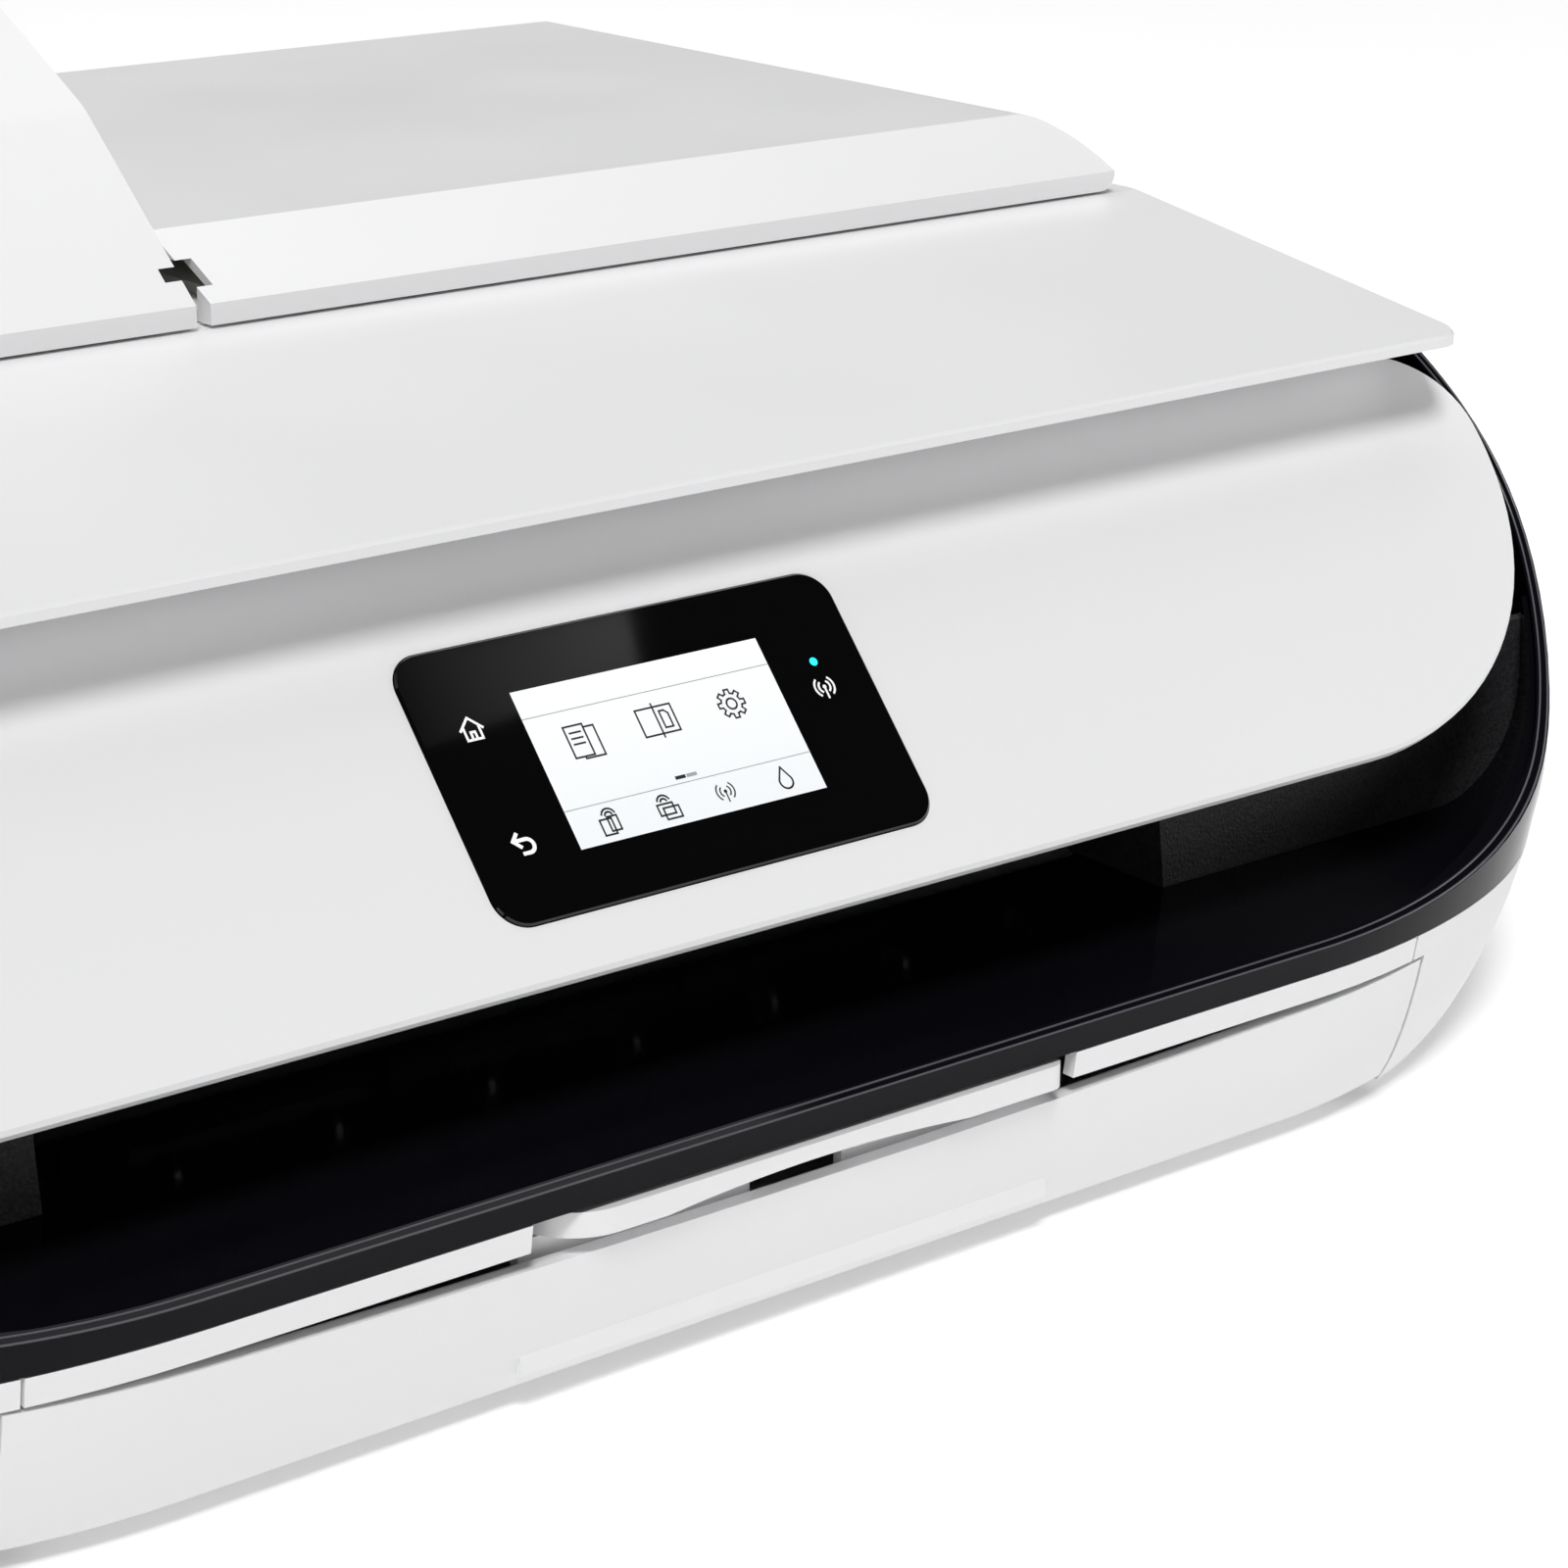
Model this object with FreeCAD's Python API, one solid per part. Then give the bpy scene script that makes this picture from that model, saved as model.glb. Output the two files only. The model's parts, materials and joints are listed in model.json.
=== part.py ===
"""Desktop inkjet printer, scanner and document feeder, as an assembly of separate pieces.

Millimetres. +X is the user's right, +Y the rear, +Z up. The origin is on the table, under the body's middle.
Each build_* function returns {node name: shape} and main() writes one STEP file per node.
"""
import FreeCAD, Part
import math
import os
from FreeCAD import Vector

# ---------------------------------------------------------------- overall sizes
body_width = 445.0
body_depth = 368.0
foot_height = 2.5
wall = 2.5                 # moulded wall of the outer shells
gap = 0.4                  # gap between pieces that move past each other
seam = 0.2                 # gap between fixed pieces
shaft_clearance = 0.05     # radial clearance of a shaft in its bearing
half_width = body_width / 2
front = -body_depth / 2
back = body_depth / 2

# ---------------------------------------------------------------- body barrel, from above and from the front
corner_across = 112.5      # front corner ellipse, half axis along X
corner_deep = 79.0         # front corner ellipse, half axis along Y
rear_corner = 26.0
upright_low = 52.0         # the side is upright between these heights
upright_high = 80.0
side_tuck = 30.0           # how far the side tucks in at the floor
front_tuck = 14.0
low_fullness = 1.6         # power of the curve down to the floor, 2 is an ellipse
shoulder_tuck = 20.0       # how far the side leans in at the shoulder
shoulder_rise = 46.0
wall_top = 122.0           # top edge of the side walls
ledge_z = 116.5            # inner ledge that closes the gap between the side walls and the flatbed
ledge_thick = 2.0

# ---------------------------------------------------------------- front panel, a tilted plate
panel_y = front + 40.0     # middle of the display
panel_z = 89.0
panel_tilt = 47.5
panel_half = half_width - 19.5
panel_low = 33.4           # from the display's middle to the lower edge
panel_high = 44.0          # and to the upper edge
panel_thick = 2.6
panel_corner_across = 64.0
panel_corner_up = 58.0
panel_top_corner_across = 22.0
panel_top_corner_down = 19.0
door_hinge_x = (-188.0, -63.0, 57.0, 182.0)

# ---------------------------------------------------------------- mouth, between the rim and the front panel
rim_front_z = 39.0
rim_side_gap = 14.6        # square to the panel's face
rim_bend = 77.0            # radius from the flat front rim into the sloping side rim
trim_depth = 2.6           # wall of the black housing
deck_z = 38.0
deck_thick = 2.0
bowl_inset = 4.0
bowl_round = 26.0
bowl_round_height = 22.0
exit_half = 112.5          # half width of the paper exit
block_y = front + 43.6
block_top = 70.0

# ---------------------------------------------------------------- display
bezel_width = 85.6
bezel_height = 47.5
bezel_corner = 5.5
bezel_proud = 0.5
bezel_recess = 1.2
screen_width = 48.4
screen_height = 28.0
button_u = -172.0
button_v = 4.0
button_radius = 6.0

# ---------------------------------------------------------------- paper tray
tray_half = 139.5
tray_seam = 1.0
tray_floor_z = 6.0
tray_back_y = back - 72.0
tray_wall = 2.0
tray_pan_half = 133.0
tray_pan_top = 28.0
tray_face_thick = 3.0
tray_face_low = 4.2
tray_face_end_z = 29.2     # top edge of the face at its ends
tray_face_mid_z = 26.2     # and in the middle
strip_low = 29.8
strip_high = 34.0
extender_half = 51.0
extender_gap = 3.0
extender_depth = 24.0        # front to back
grip_half = 30.0
grip_depth = 1.6
extender_pivot_x = -39.0
extender_pivot_radius = 3.0
slot_half = 9.2            # finger slot behind the middle of the tray's front edge
strip_end = 136.5          # outer end of the frame strip
strip_groove = 0.6
paper_half = 108.5         # letter size, half width
guide_thick = 2.5
guide_height = 15.0
guide_pinion_teeth = 16
guide_pinion_y = tray_back_y - 106.0

# ---------------------------------------------------------------- paper drive
roller_axis_z = 44.0
output_y = front + 74.0
feed_y = front + 144.0
output_radius = 5.0
feed_radius = 5.0
drive_shaft_radius = 3.0
plate_x = 139.5            # inner face of the two sheet-metal side plates
sheet = 1.5
plate_top = 51.0
gear_module = 1.0
gear_teeth = 44
idler_teeth = round((feed_y - output_y) / gear_module) - gear_teeth     # fills the span
idler_pin_radius = 3.0
pinion_teeth = 16
gear_width = 5.0
gear_x = -149.0            # outer face of the gears
motor_direction = 60.0     # degrees, from the feed gear to the motor
motor_radius = 14.0
motor_length = 28.0
pick_y = front + 244.0
pick_z = 39.5
pick_radius = 9.0
pick_x = 24.0
pick_arm_z = 52.0

# ---------------------------------------------------------------- ink carriage
carriage_park_x = 150.0
carriage_half = 31.0
carriage_front = front + 84.0
carriage_back = front + 123.5
carriage_low = 53.0
carriage_high = 88.0
bay_offset = 14.5
bay_half = 12.8
latch_pin = 1.4
belt_y = front + 131.5
belt_low = 81.5
belt_width = 5.0
belt_thick = 1.2
encoder_y = front + 120.0
pulley_radius = 5.0
pulley_x = half_width - 24.5
rail_y = front + 138.0
rail_low = 50.0
rail_high = 98.0
rail_half = half_width - 38.5

# ---------------------------------------------------------------- scanner
bed_half = half_width - 17.5
bed_front = front + 82.0
bed_back = back - 14.0
bed_low = 100.0
bed_high = 122.6
bed_wall = 2.5
bed_roof = 5.0
glass_x0 = -139.0
glass_x1 = 163.0
glass_y0 = front + 90.0
glass_y1 = back - 60.0
glass_thick = 3.0
strip_glass_x = -166.0     # middle of the narrow glass under the feeder
strip_glass_width = 22.0
head_half = 9.0
scan_rail_y = front + 198.0
scan_rail_z = 108.0
scan_rail_radius = 3.0

# ---------------------------------------------------------------- lid
lid_half = half_width - 29.0
lid_front = front + 51.5
lid_back = back - 16.0
lid_corner = 6.0
lid_low = 125.1
lid_edge = 2.1
lid_rise_y = front + 142.0         # where the rising front of the lid meets the feeder
lid_rise_z = 141.0
lid_skin = 2.2
lid_hinge_y = back - 10.0
lid_hinge_z = 129.5
lid_hinge_x = 120.0
hinge_pin_radius = 2.5

# ---------------------------------------------------------------- document feeder
feeder_half = half_width - 35.5
feeder_back = back - 20.0
feeder_face = 3.8          # low upright face above the lid
feeder_skin = 2.2
feeder_edge_round = 9.0
feeder_split = -23.8       # right end of the feeder cover
split_gap = 2.8
feeder_hinge_z = 145.2
feeder_hinge_inset = 3.6
flap_top = 155.0
feeder_base_half = half_width - 45.5
feeder_base_front = front + 148.0
feeder_base_back = back - 28.0
drum_x = -102.0
drum_radius = 17.0
drum_teeth = 36
feeder_pick_radius = 10.0
feeder_pick_teeth = 24
feeder_axis_z = 163.0
feeder_plate_y0 = front + 186.0
feeder_plate_y1 = back - 54.0
bracket_y = (feeder_plate_y0 + 18.0, feeder_plate_y1 - 34.0)
bracket_width = 6.0
cover_profile = [(lid_rise_y + 36, 33.0), (lid_rise_y + 70, 49.4), (feeder_back - 30, 49.4),
                 (feeder_back - 10, 34.0)]     # y, height above the feeder's underside
cover_bend = 20.0

# ---------------------------------------------------------------- rear wall: ports, power inlet and jam door
port_x0, port_x1, port_z0, port_z1 = 128.0, 176.0, 58.0, 76.0
inlet_x0, inlet_x1, inlet_z0, inlet_z1 = -182.0, -156.0, 46.0, 66.0
turn_half = 112.0
board_y = back - 124.0      # front edge of the main board
turn_y = back - 66.0        # middle of the curve that turns the sheet
rear_door_low, rear_door_high = 42.0, 92.0
rear_screw_places = [(x, z) for x in (-140, 180) for z in (50, 100)]

# ---------------------------------------------------------------- values worked out from the sizes above
tilt = math.radians(panel_tilt)
far = 400.0                # longer than the printer, for cuts that run right through
round_weight = math.sqrt(0.5)
base_top = strip_high + 0.6
housing_low = base_top + seam
feeder_low = feeder_hinge_z - feeder_hinge_inset
flap_profile = [(lid_rise_y + 20, flap_top - feeder_low), (feeder_back - 18, flap_top - feeder_low)]


# ================================================================ helpers
def box(x0, x1, y0, y1, z0, z1):
    return Part.makeBox(x1 - x0, y1 - y0, z1 - z0, Vector(x0, y0, z0))


def rod(axis, start, end, a, b, radius):
    """A cylinder along X, Y or Z from start to end; a and b are its place on the other two axes, in order."""
    base = {"x": Vector(start, a, b), "y": Vector(a, start, b), "z": Vector(a, b, start)}[axis]
    direction = {"x": Vector(1, 0, 0), "y": Vector(0, 1, 0), "z": Vector(0, 0, 1)}[axis]
    return Part.makeCylinder(radius, end - start, base, direction)


def join(shapes):
    whole = shapes[0]
    for shape in shapes[1:]:
        whole = whole.fuse(shape)
    return whole.removeSplitter()


def group(shapes):
    """Several separate solids in one node."""
    return Part.makeCompound(shapes)


def mirrored(shape):
    return shape.mirror(Vector(0, 0, 0), Vector(1, 0, 0))


def round_edges(shape, radius, chosen):
    """Fillets the edges that chosen(edge) picks."""
    edges = [e for e in shape.Edges if chosen(e)]
    return shape.makeFillet(radius, edges)


def is_along(edge, axis):
    """True for a straight edge along X, Y or Z."""
    if not isinstance(edge.Curve, (Part.Line, Part.LineSegment)):
        return False
    d = edge.Vertexes[-1].Point - edge.Vertexes[0].Point
    parts = {"x": abs(d.x), "y": abs(d.y), "z": abs(d.z)}
    return parts.pop(axis) > 1e-6 and max(parts.values()) < 1e-6


def upright_rounded_box(x0, x1, y0, y1, z0, z1, radius):
    return round_edges(box(x0, x1, y0, y1, z0, z1), radius, lambda e: is_along(e, "z"))


def quarter_ellipse(start, corner, end):
    """A quarter of an ellipse from start to end, square to the two sides that meet at corner."""
    curve = Part.BezierCurve()
    curve.setPoles([start, corner, end])
    curve.setWeight(2, round_weight)
    return curve.toShape()


def outline(z, half, y_front, y_back, across, deep, rear):
    """Closed plan outline: straight front, elliptical front corners, straight sides, round rear corners."""
    def p(x, y):
        return Vector(x, y, z)
    xi, yi = half - across, y_front + deep
    xr, yr = half - rear, y_back - rear
    edges = [
        Part.makeLine(p(-xi, y_front), p(xi, y_front)),
        quarter_ellipse(p(xi, y_front), p(half, y_front), p(half, yi)),
        Part.makeLine(p(half, yi), p(half, yr)),
        quarter_ellipse(p(half, yr), p(half, y_back), p(xr, y_back)),
        Part.makeLine(p(xr, y_back), p(-xr, y_back)),
        quarter_ellipse(p(-xr, y_back), p(-half, y_back), p(-half, yr)),
        Part.makeLine(p(-half, yr), p(-half, yi)),
        quarter_ellipse(p(-half, yi), p(-half, y_front), p(-xi, y_front)),
    ]
    return Part.Wire(edges)


def prism(wire, height):
    return Part.Face(wire).extrude(Vector(0, 0, height))


def tuck(z, amount, full, reach, power=2.0):
    """How far a curved tuck has come in at height z: none at full, all of it after reach."""
    share = min(1.0, max(0.0, abs(z - full) / reach))
    return amount * (1 - (1 - share ** power) ** (1 / power))


def side_inset(z):
    if z < upright_low:
        return tuck(z, side_tuck, upright_low, upright_low, low_fullness)
    if z > upright_high:
        return tuck(z, shoulder_tuck, upright_high, shoulder_rise)
    return 0.0


def front_inset(z):
    return tuck(z, front_tuck, upright_low, upright_low, low_fullness) if z < upright_low else 0.0


def body_outline(z, inset, at=None):
    """The body's outline at height z, moved in by inset. at puts it at another height."""
    side = side_inset(z) + inset
    ends = front_inset(z) + inset
    return outline(z if at is None else at, half_width - side, front + ends, back - ends,
                   corner_across - side, corner_deep - ends, rear_corner)


def body_barrel(inset, low, high):
    """The body's outer barrel, moved in by inset, between two heights."""
    middle = upright_high - upright_low
    levels = ([foot_height] + [upright_low * share for share in (0.1, 0.2, 0.34, 0.5, 0.68, 0.84)]
              + [upright_low + middle * share for share in (0, 0.33, 0.67, 1)]
              + [upright_high + (wall_top - upright_high) * share for share in (0.2, 0.45, 0.72, 1)])
    inside = [low] + [z for z in levels if low + 1.0 < z < high - 1.0] + [high]
    return Part.makeLoft([body_outline(min(z, wall_top), inset, z) for z in inside], True, False)


def on_panel(shape):
    """Moves a shape from the panel's axes (u right, v up the slope, w out of its face) to the printer's."""
    moved = shape.copy()
    moved.rotate(Vector(0, 0, 0), Vector(1, 0, 0), panel_tilt)
    moved.translate(Vector(0, panel_y, panel_z))
    return moved


def panel_point(v, w):
    """(y, z) of a place on the panel's own axes."""
    return (panel_y + v * math.cos(tilt) - w * math.sin(tilt),
            panel_z + v * math.sin(tilt) + w * math.cos(tilt))


def rim_profile(drop):
    """The rim line in the YZ plane, moved down square to itself: a flat run, a bend, the sloping side."""
    slope = Vector(0, math.cos(tilt), math.sin(tilt))
    out = Vector(0, -math.sin(tilt), math.cos(tilt))
    on_line = Vector(0, panel_y, panel_z) - out * rim_side_gap
    on_axis = on_line + out * rim_bend                  # the bend's centre slides along here
    start = Vector(0, front, rim_front_z)
    to_start = start - on_axis
    along = to_start.dot(slope)
    square = (to_start - slope * along).Length
    centre = on_axis + slope * (along + math.sqrt(rim_bend ** 2 - square ** 2))
    if centre.y > front:
        centre = on_axis + slope * (along - math.sqrt(rim_bend ** 2 - square ** 2))
    radius = rim_bend + drop
    lowest = centre + Vector(0, 0, -radius)
    tangent = centre - out * radius
    middle_angle = tilt / 2
    middle = centre + Vector(0, math.sin(middle_angle), -math.cos(middle_angle)) * radius
    top = tangent + slope * ((wall_top - tangent.z) / slope.z)
    bend = Part.Arc(lowest, middle, tangent).toShape()
    return [Part.makeLine(Vector(0, -far, lowest.z), lowest), bend, Part.makeLine(tangent, top)]


def above_rim(drop):
    """Everything above the rim line, and above the side walls behind it."""
    run = rim_profile(drop)
    top = run[-1].Vertexes[-1].Point
    first = run[0].Vertexes[0].Point
    corners = [top, Vector(0, far, wall_top), Vector(0, far, far), Vector(0, -far, far), first]
    closing = [Part.makeLine(a, b) for a, b in zip(corners, corners[1:])]
    face = Part.Face(Part.Wire(run + closing))
    solid = face.extrude(Vector(2 * far, 0, 0))
    solid.translate(Vector(-far, 0, 0))
    return solid


def profile_yz(points, x0, x1):
    """A closed straight-sided outline in the YZ plane, extruded from x0 to x1."""
    wire = Part.makePolygon([Vector(x0, y, z) for y, z in points] + [Vector(x0, *points[0])])
    return Part.Face(wire).extrude(Vector(x1 - x0, 0, 0))


def profile_xz(points, y0, y1):
    wire = Part.makePolygon([Vector(x, y0, z) for x, z in points] + [Vector(points[0][0], y0, points[0][1])])
    return Part.Face(wire).extrude(Vector(0, y1 - y0, 0))


def spur_gear(teeth, width, start_angle=0.0):
    """A spur gear about +Z from z = 0, with straight-flanked teeth and room for backlash."""
    pitch_radius = gear_module * teeth / 2
    tip, root = pitch_radius + 0.8 * gear_module, pitch_radius - 1.15 * gear_module
    step = 2 * math.pi / teeth
    points = []
    for n in range(teeth):
        middle = start_angle + n * step
        for radius, share in ((root, -0.30), (tip, -0.11), (tip, 0.11), (root, 0.30)):
            angle = middle + share * step
            points.append(Vector(radius * math.cos(angle), radius * math.sin(angle), 0))
    return Part.Face(Part.makePolygon(points + [points[0]])).extrude(Vector(0, 0, width))


def turned_to_x(shape):
    """Turns a shape built about +Z so that it stands about +X, its own X along +Y."""
    moved = shape.copy()
    moved.rotate(Vector(0, 0, 0), Vector(1, 1, 1), 120)
    return moved


def turned_to_y(shape):
    """Turns a shape built about +Z so that it stands about +Y, its own X staying along +X."""
    moved = shape.copy()
    moved.rotate(Vector(0, 0, 0), Vector(1, 0, 0), -90)
    return moved


def placed(shape, x, y, z):
    moved = shape.copy()
    moved.translate(Vector(x, y, z))
    return moved


def mesh_angle(start, teeth, direction, other_teeth):
    """Start angle of a gear that meshes with one of the given start angle and teeth in that direction."""
    share = ((direction - start) * teeth / (2 * math.pi)) % 1.0
    return direction + math.pi + (share - 0.5) * 2 * math.pi / other_teeth


def rack(x0, x1, pitch_y, toward, z0, z1):
    """A rack along X whose teeth point towards +Y or -Y, with a gap between teeth at x = 0."""
    pitch = math.pi * gear_module
    root, tip = pitch_y - toward * 1.15 * gear_module, pitch_y + toward * 0.8 * gear_module
    spine = pitch_y - toward * 4.0 * gear_module
    bar = box(x0, x1, min(spine, root), max(spine, root), z0, z1)
    teeth = []
    for n in range(math.ceil(x0 / pitch), math.floor(x1 / pitch)):
        middle = (n + 0.5) * pitch
        flank = [(middle - 0.30 * pitch, root), (middle - 0.11 * pitch, tip),
                 (middle + 0.11 * pitch, tip), (middle + 0.30 * pitch, root)]
        wire = Part.makePolygon([Vector(x, y, z0) for x, y in flank + flank[:1]])
        teeth.append(Part.Face(wire).extrude(Vector(0, 0, z1 - z0)))
    return join([bar] + teeth)


# ================================================================ outer shells


def build_base():
    """White lower shell with its floor and the frame strips above the paper tray."""
    shell = body_barrel(0, foot_height, base_top).cut(body_barrel(wall, foot_height + wall, base_top + 1))
    reach = tray_half + tray_seam
    shell = shell.cut(box(-reach, reach, -far, front + 26, 0, strip_low))
    notch = extender_half + extender_gap
    shell = shell.cut(box(-notch, notch, -far, front + 26, strip_low - 1, far))
    for side in (-1, 1):
        g0, g1 = sorted((side * strip_end, side * (strip_end + strip_groove)))
        groove = box(g0, g1, -far, front + 26, strip_low - 1, far)
        shell = shell.cut(groove.cut(body_barrel(1.2, strip_low - 2, base_top + 2)))
    floor = foot_height + wall
    runners = [box(x - 2, x + 2, front + 30, tray_back_y, floor - 1, tray_floor_z - seam)
               for x in (-100, 100)]
    posts = [rod("z", floor - 1, base_top - 3, x, y, 5) for x in (-192, 192) for y in (-20, 30)]
    return {"base_shell": join([shell] + runners + posts)}


def build_housing():
    """Black upper body: the rim in front, the side walls and the rear wall with its openings."""
    shell = body_barrel(0, housing_low, wall_top).cut(body_barrel(trim_depth, housing_low - 1, wall_top + 1))
    shell = shell.cut(above_rim(0))
    port = box(port_x0, port_x1, back - 12, far, port_z0, port_z1)
    inlet = box(inlet_x0, inlet_x1, back - 12, far, inlet_z0, inlet_z1)
    door = box(-turn_half - 4, turn_half + 4, back - 12, far, rear_door_low, rear_door_high)
    shell = shell.cut(port).cut(inlet).cut(door)
    for x, z in rear_screw_places:
        shell = shell.cut(rod("y", back - 1.8, far, x, z, 3.4))
    for side in (-1, 1):
        x0, x1 = sorted((side * (turn_half + 4), side * (turn_half + 9)))
        shell = shell.fuse(box(x0, x1, back - 5, back - 1, rear_door_low, rear_door_low + 5))
    ledge = prism(body_outline(ledge_z, trim_depth - 0.5), ledge_thick)
    ledge = ledge.cut(box(-bed_half - gap, bed_half + gap, -far, bed_back + gap, 0, far))
    posts = [box(s - 6, s + 6, bed_back - 5, far, 0, far) for s in (-lid_hinge_x, lid_hinge_x)]
    for post in posts:
        ledge = ledge.cut(post)
    return {"body_housing": join([shell, ledge.cut(above_rim(0))])}


def lean_back(y):
    """Everything behind the leaning front face of the side blocks, whose foot is at y."""
    lean = math.tan(math.radians(7))
    return profile_yz([(y, deck_z), (y + (wall_top - deck_z) * lean, wall_top), (far, wall_top), (far, 0),
                       (y - deck_z * lean, 0)], -far, far)


def bowl_outline(side, z):
    """Plan of the dish at height z: its sides moved in, its front edge the same at every height."""
    side = bowl_inset + side
    return outline(z, half_width - side, front + bowl_inset, back - side, corner_across - side,
                   corner_deep - bowl_inset, rear_corner)


def bowl_space():
    """The dished hollow above the deck: its floor is flat and its sides curve up."""
    sections = []
    for step in range(6):
        rise = step / 5
        inset = bowl_round * (1 - math.sqrt(1 - (1 - rise) ** 2))
        sections.append(bowl_outline(inset, deck_z + bowl_round_height * rise))
    dish = Part.makeLoft(sections, True, False)
    above = prism(bowl_outline(0, deck_z + bowl_round_height), far)
    return dish.fuse(above)


def build_mouth():
    """Gloss black deck with curved sides, and the two textured blocks beside the paper exit."""
    low = deck_z - deck_thick
    full = body_barrel(trim_depth + seam, low, wall_top)
    bowl = full.cut(bowl_space()).cut(above_rim(1.0))
    bowl = bowl.cut(lean_back(block_y - gap))
    tongue = box(-exit_half + gap, exit_half - gap, block_y - 1, output_y - output_radius - 3, low, deck_z)
    deck = join([bowl, tongue])

    face = full.common(lean_back(block_y)).cut(lean_back(block_y + wall))
    face = face.common(box(exit_half, far, -far, far, 0, block_top)).cut(above_rim(1.0))
    cheek = box(exit_half, exit_half + wall, block_y + 1.5, output_y - output_radius - 1, low, block_top)
    cheek = cheek.common(lean_back(block_y))
    under_panel = on_panel(box(-far, far, -far, far, -panel_thick - 4, far))
    wing = prism(body_outline(52.0, 24, low), far).cut(prism(body_outline(52.0, 26, low - 1), 2 * far))
    wing = wing.common(box(exit_half + 20, far, block_y + 1, bed_front - 2, low,
                           bed_low + 14)).cut(under_panel)
    wing = wing.common(lean_back(block_y + 0.5))
    right = join([face, cheek, wing])
    return {"mouth_deck": deck, "side_block_right": right, "side_block_left": mirrored(right)}


def panel_wire(inset, w):
    """The front panel's outline on its own plane, moved in by inset."""
    def p(u, v):
        return Vector(u, v, w)
    half, low, high = panel_half - inset, -panel_low + inset, panel_high - inset
    across, up = panel_corner_across - inset, panel_corner_up - inset
    top_across, top_down = panel_top_corner_across - inset, panel_top_corner_down - inset
    right = [quarter_ellipse(p(half - across, low), p(half, low), p(half, low + up)),
             Part.makeLine(p(half, low + up), p(half, high - top_down)),
             quarter_ellipse(p(half, high - top_down), p(half, high), p(half - top_across, high))]
    left = [quarter_ellipse(p(top_across - half, high), p(-half, high), p(-half, high - top_down)),
            Part.makeLine(p(-half, high - top_down), p(-half, low + up)),
            quarter_ellipse(p(-half, low + up), p(-half, low), p(across - half, low))]
    top = [Part.makeLine(p(half - top_across, high), p(top_across - half, high))]
    bottom = [Part.makeLine(p(across - half, low), p(half - across, low))]
    return Part.Wire(right + top + left + bottom)


def door_axis():
    return panel_point(panel_high - 4.0, -6.0)


def build_front_panel():
    """White tilted panel, which is the cartridge door, with its stiffening flange and hinge ears."""
    skin = Part.Face(panel_wire(0, -panel_thick)).extrude(Vector(0, 0, panel_thick))
    top_edges = [e for e in skin.Edges if all(abs(v.Z) < 1e-6 for v in e.Vertexes)]
    skin = skin.makeChamfer(0.7, top_edges)
    flange = Part.Face(panel_wire(14, -panel_thick - 4)).extrude(Vector(0, 0, 4.2))
    flange = flange.cut(Part.Face(panel_wire(16, -far / 4)).extrude(Vector(0, 0, far)))
    pocket_u, pocket_v = bezel_width / 2 + seam, bezel_height / 2 + seam
    pocket = upright_rounded_box(-pocket_u, pocket_u, -pocket_v, pocket_v, -bezel_recess, 5,
                                 bezel_corner + seam)
    window = box(-screen_width / 2, screen_width / 2, -screen_height / 2, screen_height / 2, -far, far)
    button_hole = rod("z", -far, far, button_u, button_v, button_radius + gap)
    button_guide = rod("z", -panel_thick - 4, -panel_thick + 0.1, button_u, button_v, button_radius + 2.5)
    plate = join([skin, flange, button_guide]).cut(pocket).cut(window).cut(button_hole)
    plate = on_panel(plate)
    y, z = door_axis()
    for x in door_hinge_x:
        ear = rod("x", x, x + 6, y, z, 3.4)
        web = on_panel(box(x, x + 6, panel_high - 11, panel_high - 5.5, -8, -panel_thick + 0.2))
        ear = join([ear, web])
        pin = rod("x", x - 5, x + 11, y, z, 1.6)
        plate = join([plate, ear, pin])
    return {"front_panel": plate}


def build_display():
    """Gloss glass bezel let into the panel, the display module behind its window, and the power button."""
    u, v = bezel_width / 2, bezel_height / 2
    glass = upright_rounded_box(-u, u, -v, v, -bezel_recess + 0.05, bezel_proud, bezel_corner)
    rim = [e for e in glass.Edges if all(abs(w.Z - bezel_proud) < 1e-6 for w in e.Vertexes)]
    glass = glass.makeChamfer(0.3, rim)
    su, sv = screen_width / 2 - seam, screen_height / 2 - seam
    module = box(-su, su, -sv, sv, -panel_thick - 1.5, -bezel_recess - 0.05)
    board = box(-su - 10, su + 10, -sv - 3, sv + 3, -panel_thick - 3.1, -panel_thick - 0.3)
    display = join([module, board])
    cap = rod("z", -5, 0.4, button_u, button_v, button_radius)
    cap = round_edges(cap, 0.35, lambda e: abs(e.CenterOfMass.z - 0.4) < 1e-6)
    return {"display_bezel": on_panel(glass), "display_module": on_panel(display),
            "power_button": on_panel(cap)}


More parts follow.
